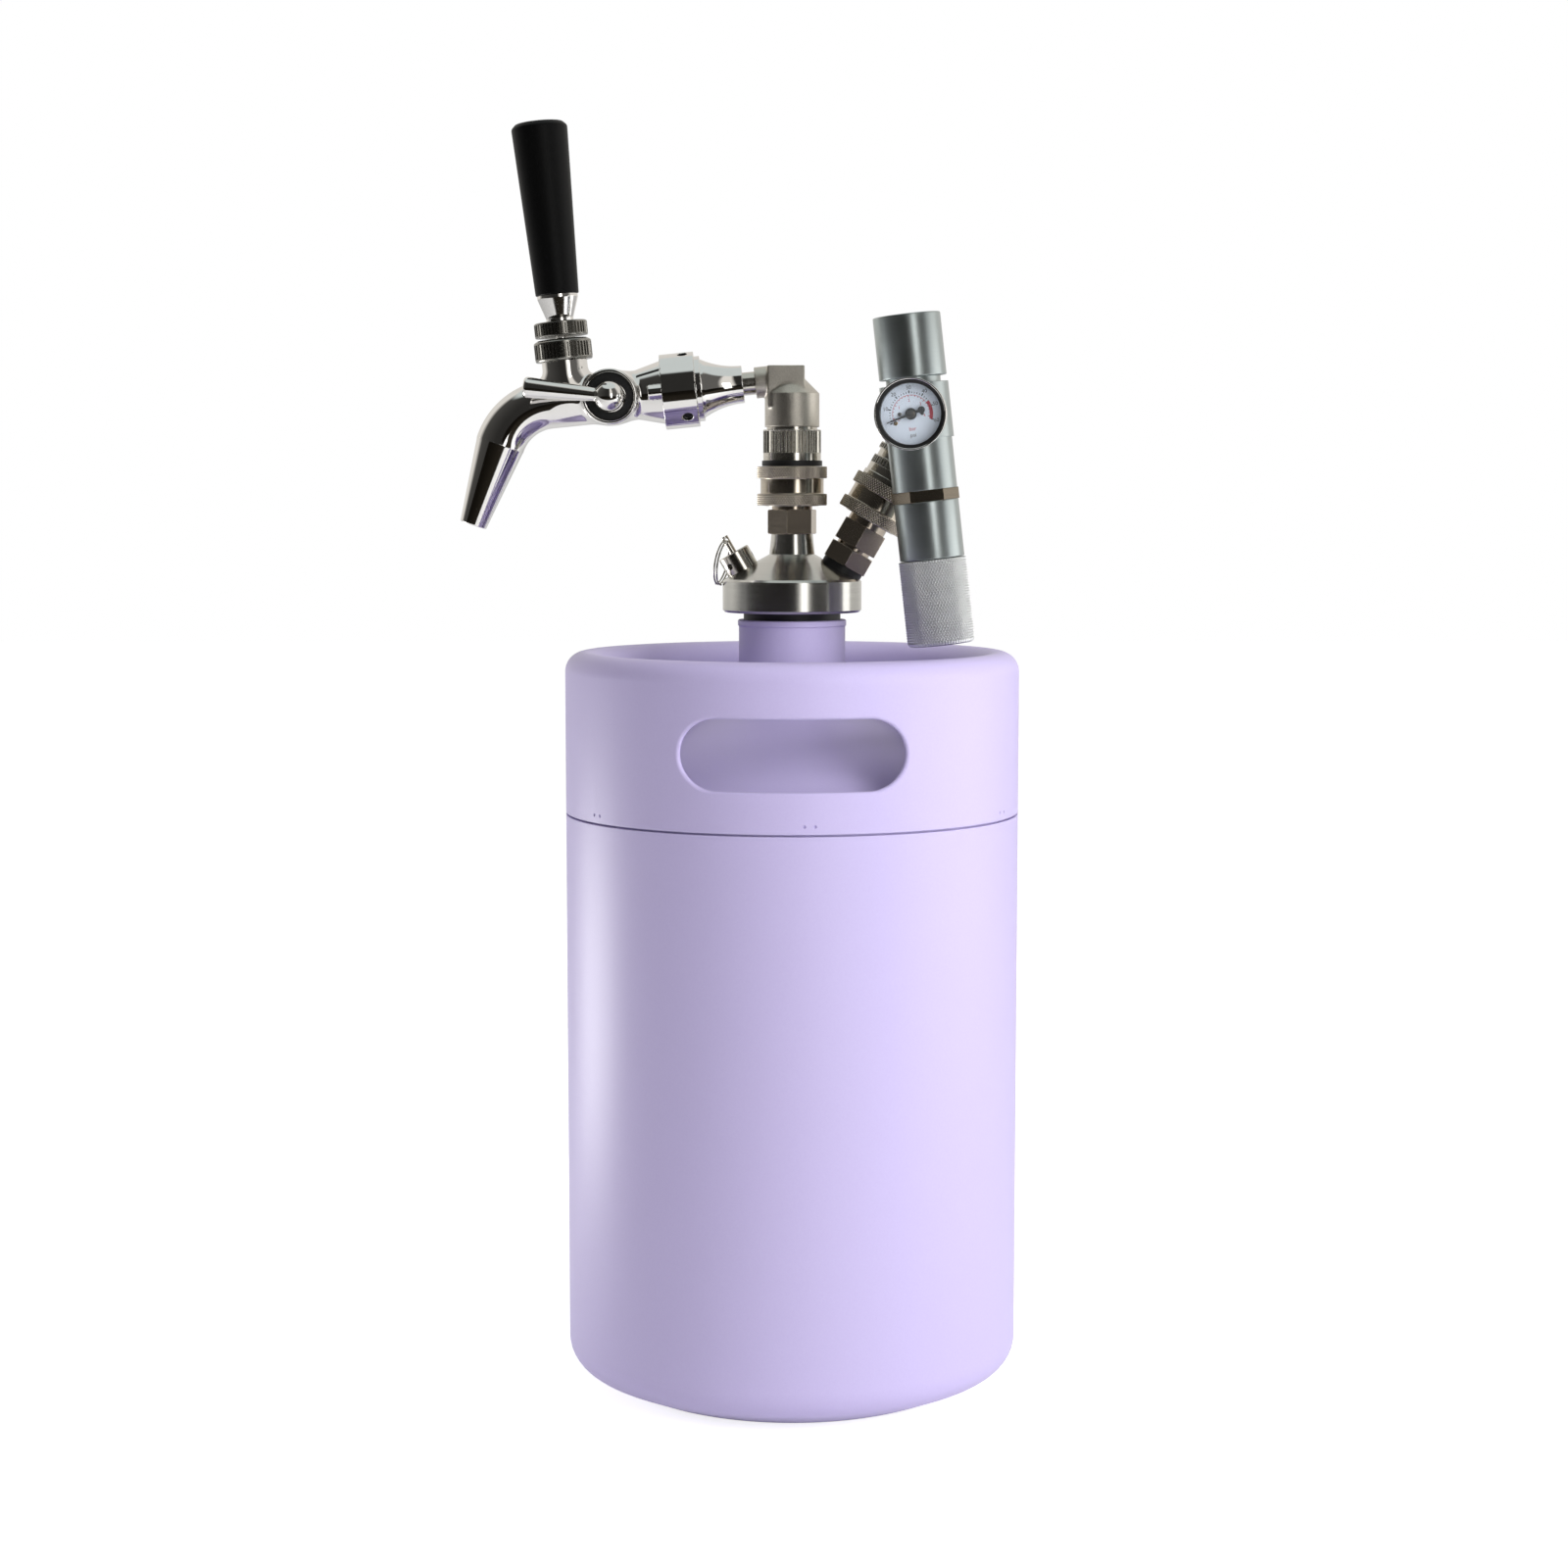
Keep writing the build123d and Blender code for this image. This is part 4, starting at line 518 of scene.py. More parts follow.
# Ball lock disconnects and their sliding collars
def disconnect(name, matrix, body, node, flange, bands):
    """Sleeve, flange with its splined bands and stub of a disconnect, turned with its bore."""
    sleeve, neck, shoulder, stub = 10.6, 9.4, 10.0, 7.0
    post_bore, ball_groove, pusher = 8.08, 10.45, 1.2
    foot, sleeve_top, flange_top = -0.3, 7.1, 29.7
    groove_low, groove_top, pusher_low, bore_top, drink_floor = 3.7, 6.9, 12.9, 14.5, 16.5
    below = [(post_bore, foot, 0), (sleeve, foot, 0.3), (sleeve, sleeve_top, 0), (neck, sleeve_top, 0),
             (neck, FLANGE_LOW, 0)]
    above = [(FLANGE, flange_top, 0.4), (shoulder, flange_top, 0), (shoulder, STUB_LOW, 0),
             (stub, STUB_LOW, 0), (stub, STUB_TOP, 0), (DRINK_BORE, STUB_TOP, 0)]
    inside = [(DRINK_BORE, drink_floor, 0), (0, drink_floor, 0), (0, pusher_low, 0), (pusher, pusher_low, 0),
              (pusher, bore_top, 0), (post_bore, bore_top, 0), (post_bore, groove_top, 0),
              (ball_groove, groove_top, 0), (ball_groove, groove_low, 0), (post_bore, groove_low, 0)]
    cuts = [teeth(SPLINES, SPLINE_DEPTH, FLANGE - 0.2, low, high) for low, high in bands]

    def press(turn, r, z):
        return sum(cut(turn, r, z) for cut in cuts)

    lathe(name, matrix, below + flange + above + inside, MACHINED, body, [node],
          around=SPLINES * 8, press=press, angle=25)


def liquid_disconnect():
    """Disconnect under the tap, splined over the upper part of its flange."""
    band = (20.6, 29.3)
    flange = [(FLANGE, FLANGE_LOW, 0.3)] + toothed(FLANGE, *band, SPLINE_RUN)
    disconnect("splined_liquid_disconnect", LIQUID, "tap", "liquid_disconnect", flange, [band])


def gas_disconnect():
    """Disconnect under the regulator: a plain rim, then two splined bands with a groove between them."""
    rim, rim_top, groove, groove_low, groove_top = 11.9, 17.6, 10.5, 24.2, 27.1
    low_band, high_band = (20.8, 23.9), (27.4, 29.3)
    ring = [(rim, FLANGE_LOW, 0.3), (rim, rim_top, 0.3), (FLANGE, rim_top, 0)]
    waist = [(FLANGE, groove_low, 0.1), (groove, groove_low, 0.2), (groove, groove_top, 0.2),
             (FLANGE, groove_top, 0.1)]
    lower = toothed(FLANGE, *low_band, SPLINE_RUN)
    upper = toothed(FLANGE, *high_band, SPLINE_RUN)
    disconnect("splined_gas_disconnect", GAS, "regulator", "gas_disconnect", ring + lower + waist + upper,
               [low_band, high_band])


def collar(name, matrix, body, node):
    """Sliding collar: two diamond-knurled bands and the smooth finger groove between them."""
    band, groove, mouth, spring_room, seat, bore = 13.9, 12.5, 12.25, 11.6, 9.48, 10.68
    low_top, seat_low, seat_top, high_start, mouth_low, length = 4.6, 7.4, 9.5, 10.7, 12.0, 15.3
    edge, rows = 0.3, 16
    crests, pitch, depth = 78, 1.5, 0.42
    lower = [(bore, 0, 0), (band - edge, 0, 0)] + straight(band, edge, low_top - edge, rows)
    waist = [(band - edge, low_top, 0), (groove, low_top, 0.5), (groove, high_start, 0.5),
             (band - edge, high_start, 0)]
    upper = straight(band, high_start + edge, length - edge, rows) + [(band - edge, length, 0)]
    inside = [(mouth, length, 0.2), (mouth, mouth_low, 0), (spring_room, mouth_low, 0),
              (spring_room, seat_top, 0), (seat, seat_top, 0), (seat, seat_low, 0), (bore, seat_low, 0)]
    lathe(name, matrix, lower + waist + upper + inside, COLLAR_STEEL, body, [node],
          around=crests * 6, press=diamonds(crests, pitch, depth, band - 0.1), angle=20)


# Elbows, cast and blasted
def liquid_elbow():
    """Barrel, chamfered crown, square block and the round outlet that takes the tail."""
    barrel_top, crown_top, outlet, outlet_end = 43.9, 49.15, 6.1, 14.6
    half_block, block_shift, block_middle, block_half_height, corner = 7.3, 2.4, 46.5, 8.2, 0.5
    block_fillet, outlet_fillet, edge = 0.9, 0.8, 0.3
    profile = [(0, STUB_LOW), (ELBOW_BARREL, STUB_LOW), (ELBOW_BARREL, barrel_top), (ELBOW_CROWN, crown_top),
               (0, crown_top)]

    def field(x, y, z):
        radial = np.hypot(x, y)
        post = turned(radial, z, profile)
        block = np.stack([np.abs(x + block_shift) - half_block, np.abs(y) - half_block,
                          np.abs(z - block_middle) - block_half_height]) + corner
        block = np.linalg.norm(np.maximum(block, 0), axis=0) + np.minimum(block.max(0), 0) - corner
        reach = x * TAP_AXIS.x + (z - OUTLET_RISE) * TAP_AXIS.z
        rise = -x * TAP_AXIS.z + (z - OUTLET_RISE) * TAP_AXIS.x
        out = np.hypot(rise, y)
        solid = melt(post, block, block_fillet)
        solid = melt(solid, cylinder(out, reach, outlet, TAIL_START, outlet_end), outlet_fillet)
        solid = carve(solid, cylinder(out, reach, TAIL_SOCKET, TAIL_START, outlet_end + PAST), edge)
        solid = carve(solid, cylinder(radial, z, ELBOW_SOCKET, STUB_LOW - PAST, ELBOW_SOCKET_TOP), edge)
        return carve(solid, cylinder(radial, z, DRINK_BORE, STUB_LOW - PAST, OUTLET_RISE), edge)

    skin("cast_liquid_elbow", LIQUID, field, (-16, -11.5, 30), (11.5, 11.5, 55.5), 0.5, CAST, "tap",
         ["liquid_elbow"])


def gas_elbow():
    """Barrel with a chamfered crown and the branch that runs forward into the regulator."""
    barrel_top, crown_top, branch_height = 38.95, 44.2, 36.6
    branch, branch_end, nose, nose_start, nose_end, gas_bore = 5.6, 16.5, 4.5, 16.0, 22.5, 1.5
    branch_fillet, nose_fillet, edge, fine_edge = 1.2, 0.2, 0.3, 0.2
    profile = [(0, STUB_LOW), (ELBOW_BARREL, STUB_LOW), (ELBOW_BARREL, barrel_top), (ELBOW_CROWN, crown_top),
               (0, crown_top)]

    def field(x, y, z):
        radial = np.hypot(x, y)
        post = turned(radial, z, profile)
        out = np.hypot(y, z - branch_height)
        solid = melt(post, cylinder(out, x, branch, 0, branch_end), branch_fillet)
        solid = melt(solid, cylinder(out, x, nose, nose_start, nose_end), nose_fillet)
        solid = carve(solid, cylinder(radial, z, ELBOW_SOCKET, STUB_LOW - PAST, ELBOW_SOCKET_TOP), edge)
        return carve(solid, cylinder(out, x, gas_bore, 0, nose_end + PAST), fine_edge)

    skin("cast_gas_elbow", GAS, field, (-11.5, -11.5, 30), (23, 11.5, 45), 0.5, CAST, "regulator",
         ["gas_elbow"])


# Chain from the elbow to the faucet
def inlet_tail():
    """Short round tail between the elbow and the bell."""
    outline = [(TAIL_BORE, TAIL_START, 0), (TAIL, TAIL_START, 0.2), (TAIL, TAIL_END, 0),
               (TAIL_BORE, TAIL_END, 0)]
    lathe("turned_inlet_tail", TAP, outline, MACHINED, "tap", ["inlet_tail"])


def shank_adapter():
    """Bell that widens from the tail to the coupling nut, with its hidden flange."""
    small, wide, flange, swell, rows = 7.3, 11.5, 12.3, 2.1, 12
    start, end, flange_low, flange_top = 19.4, 35.6, 38.25, 41.0
    bell = [(small, start, 0.3)]
    for row in range(1, rows):
        share = row / rows
        bell.append((small + (wide - small) * share ** swell, start + (end - start) * share, 0))
    rear = [(wide, end, 0), (wide, flange_low, 0), (flange, flange_low, 0), (flange, flange_top, 0.2)]
    inside = [(TAIL_BORE, flange_top, 0), (TAIL_BORE, TAIL_END, 0), (TAIL_SOCKET, TAIL_END, 0),
              (TAIL_SOCKET, start, 0)]
    lathe("bell_shank_adapter", TAP, bell + rear + inside, POLISHED, "tap", ["shank_adapter"])


def coupling_nut():
    """Smooth polished nut with three drilled spanner holes, each lined with a black cup as painted shade."""
    rim, shoulder, thread, seat = 14.7, 12.75, 12.45, 11.65
    low, shoulder_top, seat_top, top = 35.6, 37.8, 38.2, 51.2
    hole, hole_floor, hole_place, edge = 2.0, 13.1, 42.0, 0.5
    outside, inside, cup_floor, cup_top = 0.05, 0.02, 0.1, 14.3
    turns = [math.radians(turn) for turn in (-18, 102, 222)]
    profile = [(seat, low), (shoulder, low), (shoulder, shoulder_top), (rim, shoulder_top), (rim, top),
               (thread, top), (thread, seat_top), (seat, seat_top)]

    def field(x, y, z):
        nut = polygon(np.hypot(x, y), z, profile)
        for turn in turns:
            out = x * math.cos(turn) + y * math.sin(turn)
            aside = y * math.cos(turn) - x * math.sin(turn)
            drill = cylinder(np.hypot(aside, z - hole_place), out, hole, hole_floor, rim + hole)
            nut = carve(nut, drill, edge)
        return nut

    skin("polished_coupling_nut", TAP, field, (-15.5, -15.5, 34.8), (15.5, 15.5, 52), 0.35, POLISHED, "tap",
         ["coupling_nut"])
    # A thin black cup lines each hole: painted shade for the dark inside a deep blind hole.
    cup = [(0, hole_floor - inside, 0), (hole + outside, hole_floor - inside, 0),
           (hole + outside, cup_top, 0), (hole - inside, cup_top, 0),
           (hole - inside, hole_floor + cup_floor, 0), (0, hole_floor + cup_floor, 0)]
    for number, turn in enumerate(turns, 1):
        outward = TAP.to_3x3() @ Vector((math.cos(turn), math.sin(turn), 0))
        matrix = axis_frame(along(TAP, hole_place).translation, outward, TAP_AXIS)
        lathe(f"painted_shade_spanner_hole_{number}", matrix, cup, RUBBER, "tap", [], around=32)


# Faucet
def faucet_body():
    """Polished body: cone, tube, bend, handle neck, flow hub and peg in one flowing skin with its bores."""
    tube, cone, spigot, spigot_low, cone_low, cone_top = 9.65, 12.4, 12.3, 41.8, 51.2, 61.5
    neck_radius, neck_top, thread, thread_low, thread_top = 8.95, 16.2, 8.0, 15.0, 18.5
    hub_radius, hub_height, lip, pocket, pocket_floor, pocket_end = 10.9, 14.2, 0.9, 9.1, 10.0, 16.0
    peg, peg_offset, peg_end, peg_corner = 2.9, 11.4, 56.1, 0.5
    ball_room, ball_floor, ball_end = 7.0, 9.9, 20.0
    shaft_bore, lever_bore, spindle_bore, bore_end = 6.5, 3.4, 3.08, 12.0
    neck_fillet, hub_fillet, edge, fine_edge, lap = 4.0, 2.4, 0.3, 0.2, 0.6
    profile = [(0, spigot_low), (spigot, spigot_low), (spigot, cone_low), (cone, cone_low), (tube, cone_top),
               (tube, BEND_START), (0, BEND_START)]

    def field(x, y, z):
        radial = np.hypot(x, y)
        neck = np.hypot(y, z - STEM_PLACE)
        hub = np.hypot(x, z - HUB_PLACE)
        above, ahead = x + BEND_RADIUS, z - BEND_START
        ring = np.hypot(above, ahead) - BEND_RADIUS
        past = ahead * math.cos(BEND_TURN) - above * math.sin(BEND_TURN)
        bend = np.maximum(np.maximum(np.hypot(ring, y) - tube, past - lap), -ahead)
        body = np.minimum(turned(radial, z, profile), bend)
        body = melt(body, cylinder(neck, x, neck_radius, 0, neck_top), neck_fillet)
        body = np.minimum(body, cylinder(neck, x, thread, thread_low, thread_top))
        body = melt(body, cylinder(hub, -y, hub_radius, 0, hub_height - lip), hub_fillet)
        stop = cylinder(np.hypot(x, y + peg_offset), z, peg - peg_corner, cone_low, peg_end) - peg_corner
        body = np.minimum(body, stop)
        body = carve(body, cylinder(hub, -y, pocket, pocket_floor, pocket_end), fine_edge)
        body = np.minimum(body, np.hypot(hub - hub_radius + lip, y + hub_height - lip) - lip)
        body = carve(body, cylinder(hub, -y, spindle_bore, 0, bore_end), fine_edge)
        body = carve(body, cylinder(neck, x, ball_room, ball_floor, ball_end), edge)
        body = carve(body, cylinder(neck, x, lever_bore, 0, bore_end), fine_edge)
        body = carve(body, cylinder(radial, z, shaft_bore, spigot_low - PAST, BEND_START), edge)
        return carve(body, np.maximum(np.hypot(ring, y) - SPOUT_BORE, -ahead), edge)

    skin("polished_faucet_body", TAP, field, (-26, -15.4, 41), (19.2, 13.2, 130), 0.45, POLISHED, "tap",
         ["faucet_body"])


def spout_tip():
    """Tapered tip that screws onto the bend."""
    joint, shoulder, end, outlet = 9.72, 9.45, 5.3, 4.4
    shoulder_place, outlet_start, length = 1.2, 23.7, 33.7
    outline = [(SPOUT_BORE, 0, 0), (joint, 0, 0.25), (shoulder, shoulder_place, 0), (end, length, 0.5),
               (outlet, length, 0.2), (outlet, outlet_start, 0)]
    lathe("tapered_spout_tip", SPOUT, outline, POLISHED, "tap", ["spout_tip"])


def flow_lever():
    """Ball in the hub with a tapered round-ended arm and a spindle."""
    ball, place, small, large, length, corner = 5.9, 17.8, 2.35, 4.1, 33.4, 1.6
    spindle_radius, spindle_low, fillet = 3.0, 7.0, 0.5
    rise = math.radians(11.8)
    end = length - corner
    profile = [(0, 0), (small - corner, 0), (large - corner, end), (0, end)]

    def field(x, y, z):
        level = z - place
        sphere = np.sqrt(x * x + y * y + level ** 2) - ball
        reach = x * math.cos(rise) - y * math.sin(rise)
        aside = np.hypot(x * math.sin(rise) + y * math.cos(rise), level)
        arm = turned(aside, reach, profile) - corner
        spindle = cylinder(np.hypot(x, y), z, spindle_radius, spindle_low, place)
        return melt(melt(sphere, arm, fillet), spindle, fillet)

    skin("polished_flow_lever", HUB, field, (-7, -13, 6.5), (34.5, 7, 24.5), 0.4, POLISHED, "flow_lever",
         ["flow_lever"])


# Handle
def bonnet_nut():
    """Ribbed nut that holds the lever's ball, with a bright smooth flange below its ribs."""
    rim, low, high, bore, ball_room, room_floor = 11.3, 17.3, 22.9, 8.05, 9.0, 18.5
    foot, top = 16.2, 24.6
    below = [(bore, room_floor, 0), (bore, foot, 0), (11.0, foot, 0.3), (rim, 16.9, 0.2)]
    above = [(rim, 23.5, 0.2), (10.9, 23.9, 0.3), (9.7, top, 0.2), (ball_room, 23.4, 0),
             (ball_room, room_floor, 0)]
    lathe("ribbed_bonnet_nut", STEM, below + toothed(rim, low, high, RIB_RUN) + above, DARK_CHROME, "tap",
          ["bonnet_nut"], around=RIBS * 8, press=teeth(RIBS, RIB_DEPTH, rim - 0.1, low, high),
          angle=25)


def lock_nut():
    """Ribbed nut under the ferrule, hollowed so that it rolls over the bonnet."""
    rim, low, high, lip_rise = 10.45, 26.3, 30.6, 17.4
    hollow = math.hypot(rim, lip_rise)
    cup = [(r, LEVER_PIVOT + math.sqrt(hollow ** 2 - r ** 2), 0) for r in (LEVER_BORE, 4.5, 6.5, 8.5, 9.8)]
    below = cup + [(10.3, 25.6, 0.1), (rim, low - 0.1, 0.2)]
    above = [(rim, 31.0, 0.2), (9.9, FERRULE_LOW, 0.3), (LEVER_BORE, FERRULE_LOW, 0)]
    lathe("ribbed_lock_nut", STEM, below + toothed(rim, low, high, RIB_RUN) + above, DARK_CHROME, "handle",
          ["handle_lock_nut"], around=RIBS * 8,
          press=teeth(RIBS, RIB_DEPTH, rim - 0.1, low, high), angle=25)


def ferrule():
    """Flared bright ferrule between the lock nut and the grip."""
    waist, waist_top, flare, flare_low = 5.35, 32.8, 8.0, 40.6
    outline = [(LEVER_BORE, FERRULE_LOW, 0), (waist, FERRULE_LOW, 0.3), (waist, waist_top, 1.2),
               (flare, flare_low, 0.9), (flare, FERRULE_TOP, 0.3), (LEVER_BORE, FERRULE_TOP, 0)]
    lathe("flared_ferrule", STEM, outline, POLISHED, "handle", ["handle_ferrule"])


def grip():
    """Tapered black grip with a softly crowned end."""
    foot, head, crown, rod_top = 8.5, 11.0, 9.2, 51.75
    head_place, crown_place, top = 106.9, 108.6, 109.0
    outline = [(0, top, 0), (0, rod_top, 0), (LEVER_BORE, rod_top, 0), (LEVER_BORE, FERRULE_TOP, 0),
               (foot, FERRULE_TOP, 0.5), (head, head_place, 2.0), (crown, crown_place, 1.6)]
    lathe("tapered_grip", STEM, outline, BLACK_PLASTIC, "handle", ["tap_handle"], steps=8)


# Regulator
def cartridge_socket():
    """Plain socket for the cartridge, with eased ends."""
    wall, mouth, thread, pin_room, spigot_bore = 13.0, 8.0, 4.76, 5.3, 7.05
    low, pin_low, thread_low, mouth_floor, top = 23.3, 31.5, 33.5, 38.3, 47.3
    outline = [(spigot_bore, low, 0), (wall, low, 0.5), (wall, top, 0.6), (mouth, top, 0.5),
               (mouth, mouth_floor, 0), (thread, mouth_floor, 0.3), (thread, thread_low, 0),
               (pin_room, thread_low, 0), (pin_room, pin_low, 0), (spigot_bore, pin_low, 0)]
    lathe("turned_cartridge_socket", REGULATOR, outline, SATIN, "regulator", ["cartridge_socket"])


def spring_tube():
    """Plain tube over the spring, with its hidden spigot."""
    wall, spigot, spring_room, screw_bore = 12.5, 10.2, 8.2, 4.08
    low, wall_top, top, thickness = -SPRING_TUBE_END, -24.2, -10.5, 4.0
    outline = [(screw_bore, low, 0), (wall, low, 0.4), (wall, wall_top, 0.4), (spigot, wall_top, 0),
               (spigot, top, 0), (spring_room, top, 0), (spring_room, low + thickness, 0),
               (screw_bore, low + thickness, 0)]
    lathe("turned_spring_tube", REGULATOR, outline, SATIN, "regulator", ["spring_tube"])


def adjusting_knob():
    """Long knob with a bright diamond knurl from end to end, on its spindle."""
    rim, low, high, edge, rows = 13.1, -79.5, -46.5, 1.4, 130
    spindle, spindle_top = 4.0, -30.0
    crests, pitch, depth = 72, 2.0, 0.45
    foot = [(0, low, 0), (rim - edge, low, 0), (rim - 0.4 * edge, low + 0.3 * edge, 0)]
    head = [(rim - 0.5, high, 0), (spindle, high, 0), (spindle, spindle_top, 0.4), (0, spindle_top, 0)]
    outline = foot + straight(rim, low + edge, high - 0.2, rows) + head
    lathe("knurled_adjusting_knob", REGULATOR, outline, KNURLED, "knob", ["adjusting_knob"],
          around=crests * 6, press=diamonds(crests, pitch, depth, rim - 0.1), angle=20)


# Gauge
def gauge_bezel():
    """Bright rolled bezel, and the black inner ring that runs down to the dial under the window."""
    rim, case, window, back, front = 13.6, 13.15, 12.2, -3.5, 0.8
    outline = [(case, back, 0), (rim, back, 0.2), (rim, front, 0.45), (case, front, 0.15), (window, 0.02, 0),
               (case, 0, 0)]
    lathe("rolled_gauge_bezel", GAUGE, outline, POLISHED, "regulator", ["gauge_bezel"],
          around=192)
    gasket = [(case - 0.05, 0.72, 0), (window - 0.05, 0.04, 0), (11.6, 0.04, 0), (window - 0.1, 0.2, 0)]
    lathe("black_window_gasket", GAUGE, gasket, RUBBER, "regulator", [], around=192)
    wall, wall_front, wall_back = 12.3, -1.1, -3.76
    sleeve = [(wall, wall_front, 0), (wall, wall_back, 0), (11.5, wall_back, 0), (11.65, wall_front, 0)]
    lathe("black_dial_ring", GAUGE, sleeve, RUBBER, "regulator", [], around=192)


def flat_text(text, size, x, y):
    """Give the points and faces of one flat word centred on a spot of the dial."""
    curve = bpy.data.curves.new("dial_word", "FONT")
    curve.body = text
    curve.size = size
    curve.align_x = "CENTER"
    curve.align_y = "CENTER"
    curve.resolution_u = 3
    carrier = bpy.data.objects.new("dial_word", curve)
    mesh = bpy.data.meshes.new_from_object(carrier)
    points = [(v.co.x + x, v.co.y + y) for v in mesh.vertices]
    faces = [tuple(face.vertices) for face in mesh.polygons]
    bpy.data.objects.remove(carrier)
    bpy.data.curves.remove(curve)
    bpy.data.meshes.remove(mesh)
    return points, faces


def arc_strip(inner, outer, start, end):
    """Give the points and faces of a flat ring segment between two angles in degrees."""
    steps = max(1, round(abs(end - start) / 3))
    points = []
    for step in range(steps + 1):
        turn = math.radians(start + (end - start) * step / steps)
        for radius in (inner, outer):
            points.append((radius * math.cos(turn), radius * math.sin(turn)))
    return points, [(2 * i, 2 * i + 1, 2 * i + 3, 2 * i + 2) for i in range(steps)]


def dial_print(name, parts, level, finish):
    """Join flat parts into one printed layer just above the dial."""
    points, faces = [], []
    for flat, quads in parts:
        start = len(points)
        points += [(x, y, level) for x, y in flat]
        faces += [tuple(start + corner for corner in face) for face in quads]
    piece(name, GAUGE, points, faces, finish, "regulator", [])


def gauge_dial():
    """Scales of the dial: pressure to 60 outside in black, to 4 inside in red, with a red top sector."""
    level, layer, zero, full = -3.78, 0.01, 200, -20
    psi_full, psi_red, psi_in_bar = 60, 46, 14.5
    psi_turn = (full - zero) / psi_full
    bar_turn = psi_turn * psi_in_bar
    tick_root, long_tick, short_tick, psi_ring = 7.75, 8.8, 8.3, 9.85
    red_line, red_root, long_red, short_red, bar_ring = 7.15, 7.0, 6.3, 6.6, 5.1
    psi_height, bar_height, unit_height = 2.0, 1.6, 2.1

    def spot(radius, turn):
        return radius * math.cos(math.radians(turn)), radius * math.sin(math.radians(turn))

    black, red = [], []
    for psi in range(0, psi_full + 1, 2):
        turn = zero + psi * psi_turn
        long = psi % 10 == 0
        half = 1.5 if long else 1.0
        black.append(arc_strip(tick_root, long_tick if long else short_tick, turn - half, turn + half))
    for psi in range(10, psi_full + 1, 10):
        black.append(flat_text(str(psi), psi_height, *spot(psi_ring, zero + psi * psi_turn)))
    black.append(flat_text("psi", unit_height, 0, -8.0))
    red.append(arc_strip(red_root, red_line, zero, full))
    for tenth in range(0, 42, 2):
        turn = zero + tenth / 10 * bar_turn
        red.append(arc_strip(long_red if tenth % 10 == 0 else short_red, red_root, turn - 1.0, turn + 1.0))
    for bar in range(5):
        red.append(flat_text(str(bar), bar_height, *spot(bar_ring, zero + bar * bar_turn)))
    red.append(flat_text("bar", unit_height, 0, -5.6))
    red.append(arc_strip(7.05, short_tick, zero + psi_red * psi_turn, full))
    dial_print("black_dial_scale", black, level, DIAL_BLACK)
    dial_print("red_dial_scale", red, level + layer, DIAL_RED)
    for name, x, y, radius, finish in (("left_dial_screw", -4.3, 0.3, 0.75, SPRING),
                                       ("right_dial_screw", 4.2, -0.2, 0.75, SPRING),
                                       ("brass_zero_pin", -6.2, -2.9, 0.8, BRASS)):
        matrix = GAUGE @ Matrix.Translation((x, y, 0))
        outline = [(0, -3.8, 0), (radius, -3.8, 0), (radius, -3.5, 0.12), (0, -3.4, 0)]
        lathe(name, matrix, outline, finish, "regulator", [], around=24)


def gauge_needle():
    """Black pointer with a round tail weight, a hub and a grey pivot screw."""
    rest, low, high, steps = math.radians(195), -3.3, -2.7, 24
    reach, root, tip, tail, weight = 9.8, 0.55, 0.15, 4.2, 1.35
    pivot, pivot_end, hub, hub_top, screw, screw_low = 0.6, -5.3, 2.2, -2.5, 1.5, -2.62
    matrix = GAUGE @ Matrix.Rotation(rest, 4, "Z")
    lobe_start = math.asin(root / weight)
    lobe = []
    for step in range(steps + 1):
        turn = lobe_start + (2 * math.pi - 2 * lobe_start) * step / steps
        lobe.append((weight * math.cos(turn) - tail, weight * math.sin(turn)))
    outline = [(reach, -tip), (reach, tip), (0, root)] + lobe + [(0, -root)]
    count = len(outline)
    points = [(x, y, z) for z in (low, high) for x, y in outline]
    faces = [tuple(reversed(range(count))), tuple(range(count, 2 * count))]
    faces += [(i, (i + 1) % count, count + (i + 1) % count, count + i) for i in range(count)]
    piece("black_needle_blade", matrix, points, faces, DIAL_BLACK, "needle", ["gauge_needle"])
    boss = [(0, pivot_end, 0), (pivot, pivot_end, 0), (pivot, low, 0), (hub, low, 0), (hub, hub_top, 0.2),
            (screw, hub_top, 0), (0, -2.6, 0)]
    lathe("black_needle_hub", GAUGE, boss, DIAL_BLACK, "needle", ["gauge_needle"], around=48)
    head = [(0, screw_low, 0), (screw, screw_low, 0), (screw, -2.4, 0.15), (0, -2.2, 0)]
    lathe("grey_pivot_screw", GAUGE, head, NUT_STEEL, "needle", ["gauge_needle"], around=48)


# Springs
def shorten_spring(label):
    """Give a spring its own copy of its mesh, which stays at its full length."""
    spring = nodes[label]
    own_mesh(spring)


liquid_disconnect()
gas_disconnect()
collar("knurled_liquid_collar", LIQUID, "liquid_collar", "liquid_collar")
collar("knurled_gas_collar", GAS, "gas_collar", "gas_collar")
liquid_elbow()
gas_elbow()
inlet_tail()
shank_adapter()
coupling_nut()
faucet_body()
spout_tip()
flow_lever()
bonnet_nut()
lock_nut()
ferrule()
grip()
cartridge_socket()
spring_tube()
adjusting_knob()
gauge_bezel()
gauge_dial()
gauge_needle()
shorten_spring("liquid_collar_spring")
shorten_spring("gas_collar_spring")
shorten_spring("regulator_spring")
shorten_spring("prv_spring")


# Camera, light and stage
def photo_camera():
    """Stand where the photo was taken: just above the cap, looking slightly down."""
    lens = bpy.data.cameras.new("photo_camera")
    lens.sensor_width = 36
    lens.lens = 66.5
    lens.clip_end = 50
    look_down = 0.0983
    camera = bpy.data.objects.new("photo_camera", lens)
    camera.location = (-0.0032, -1.1507, 0.3543)
    camera.rotation_euler = (math.pi / 2 - look_down, 0, 0)
    bpy.context.scene.collection.objects.link(camera)
    bpy.context.scene.camera = camera


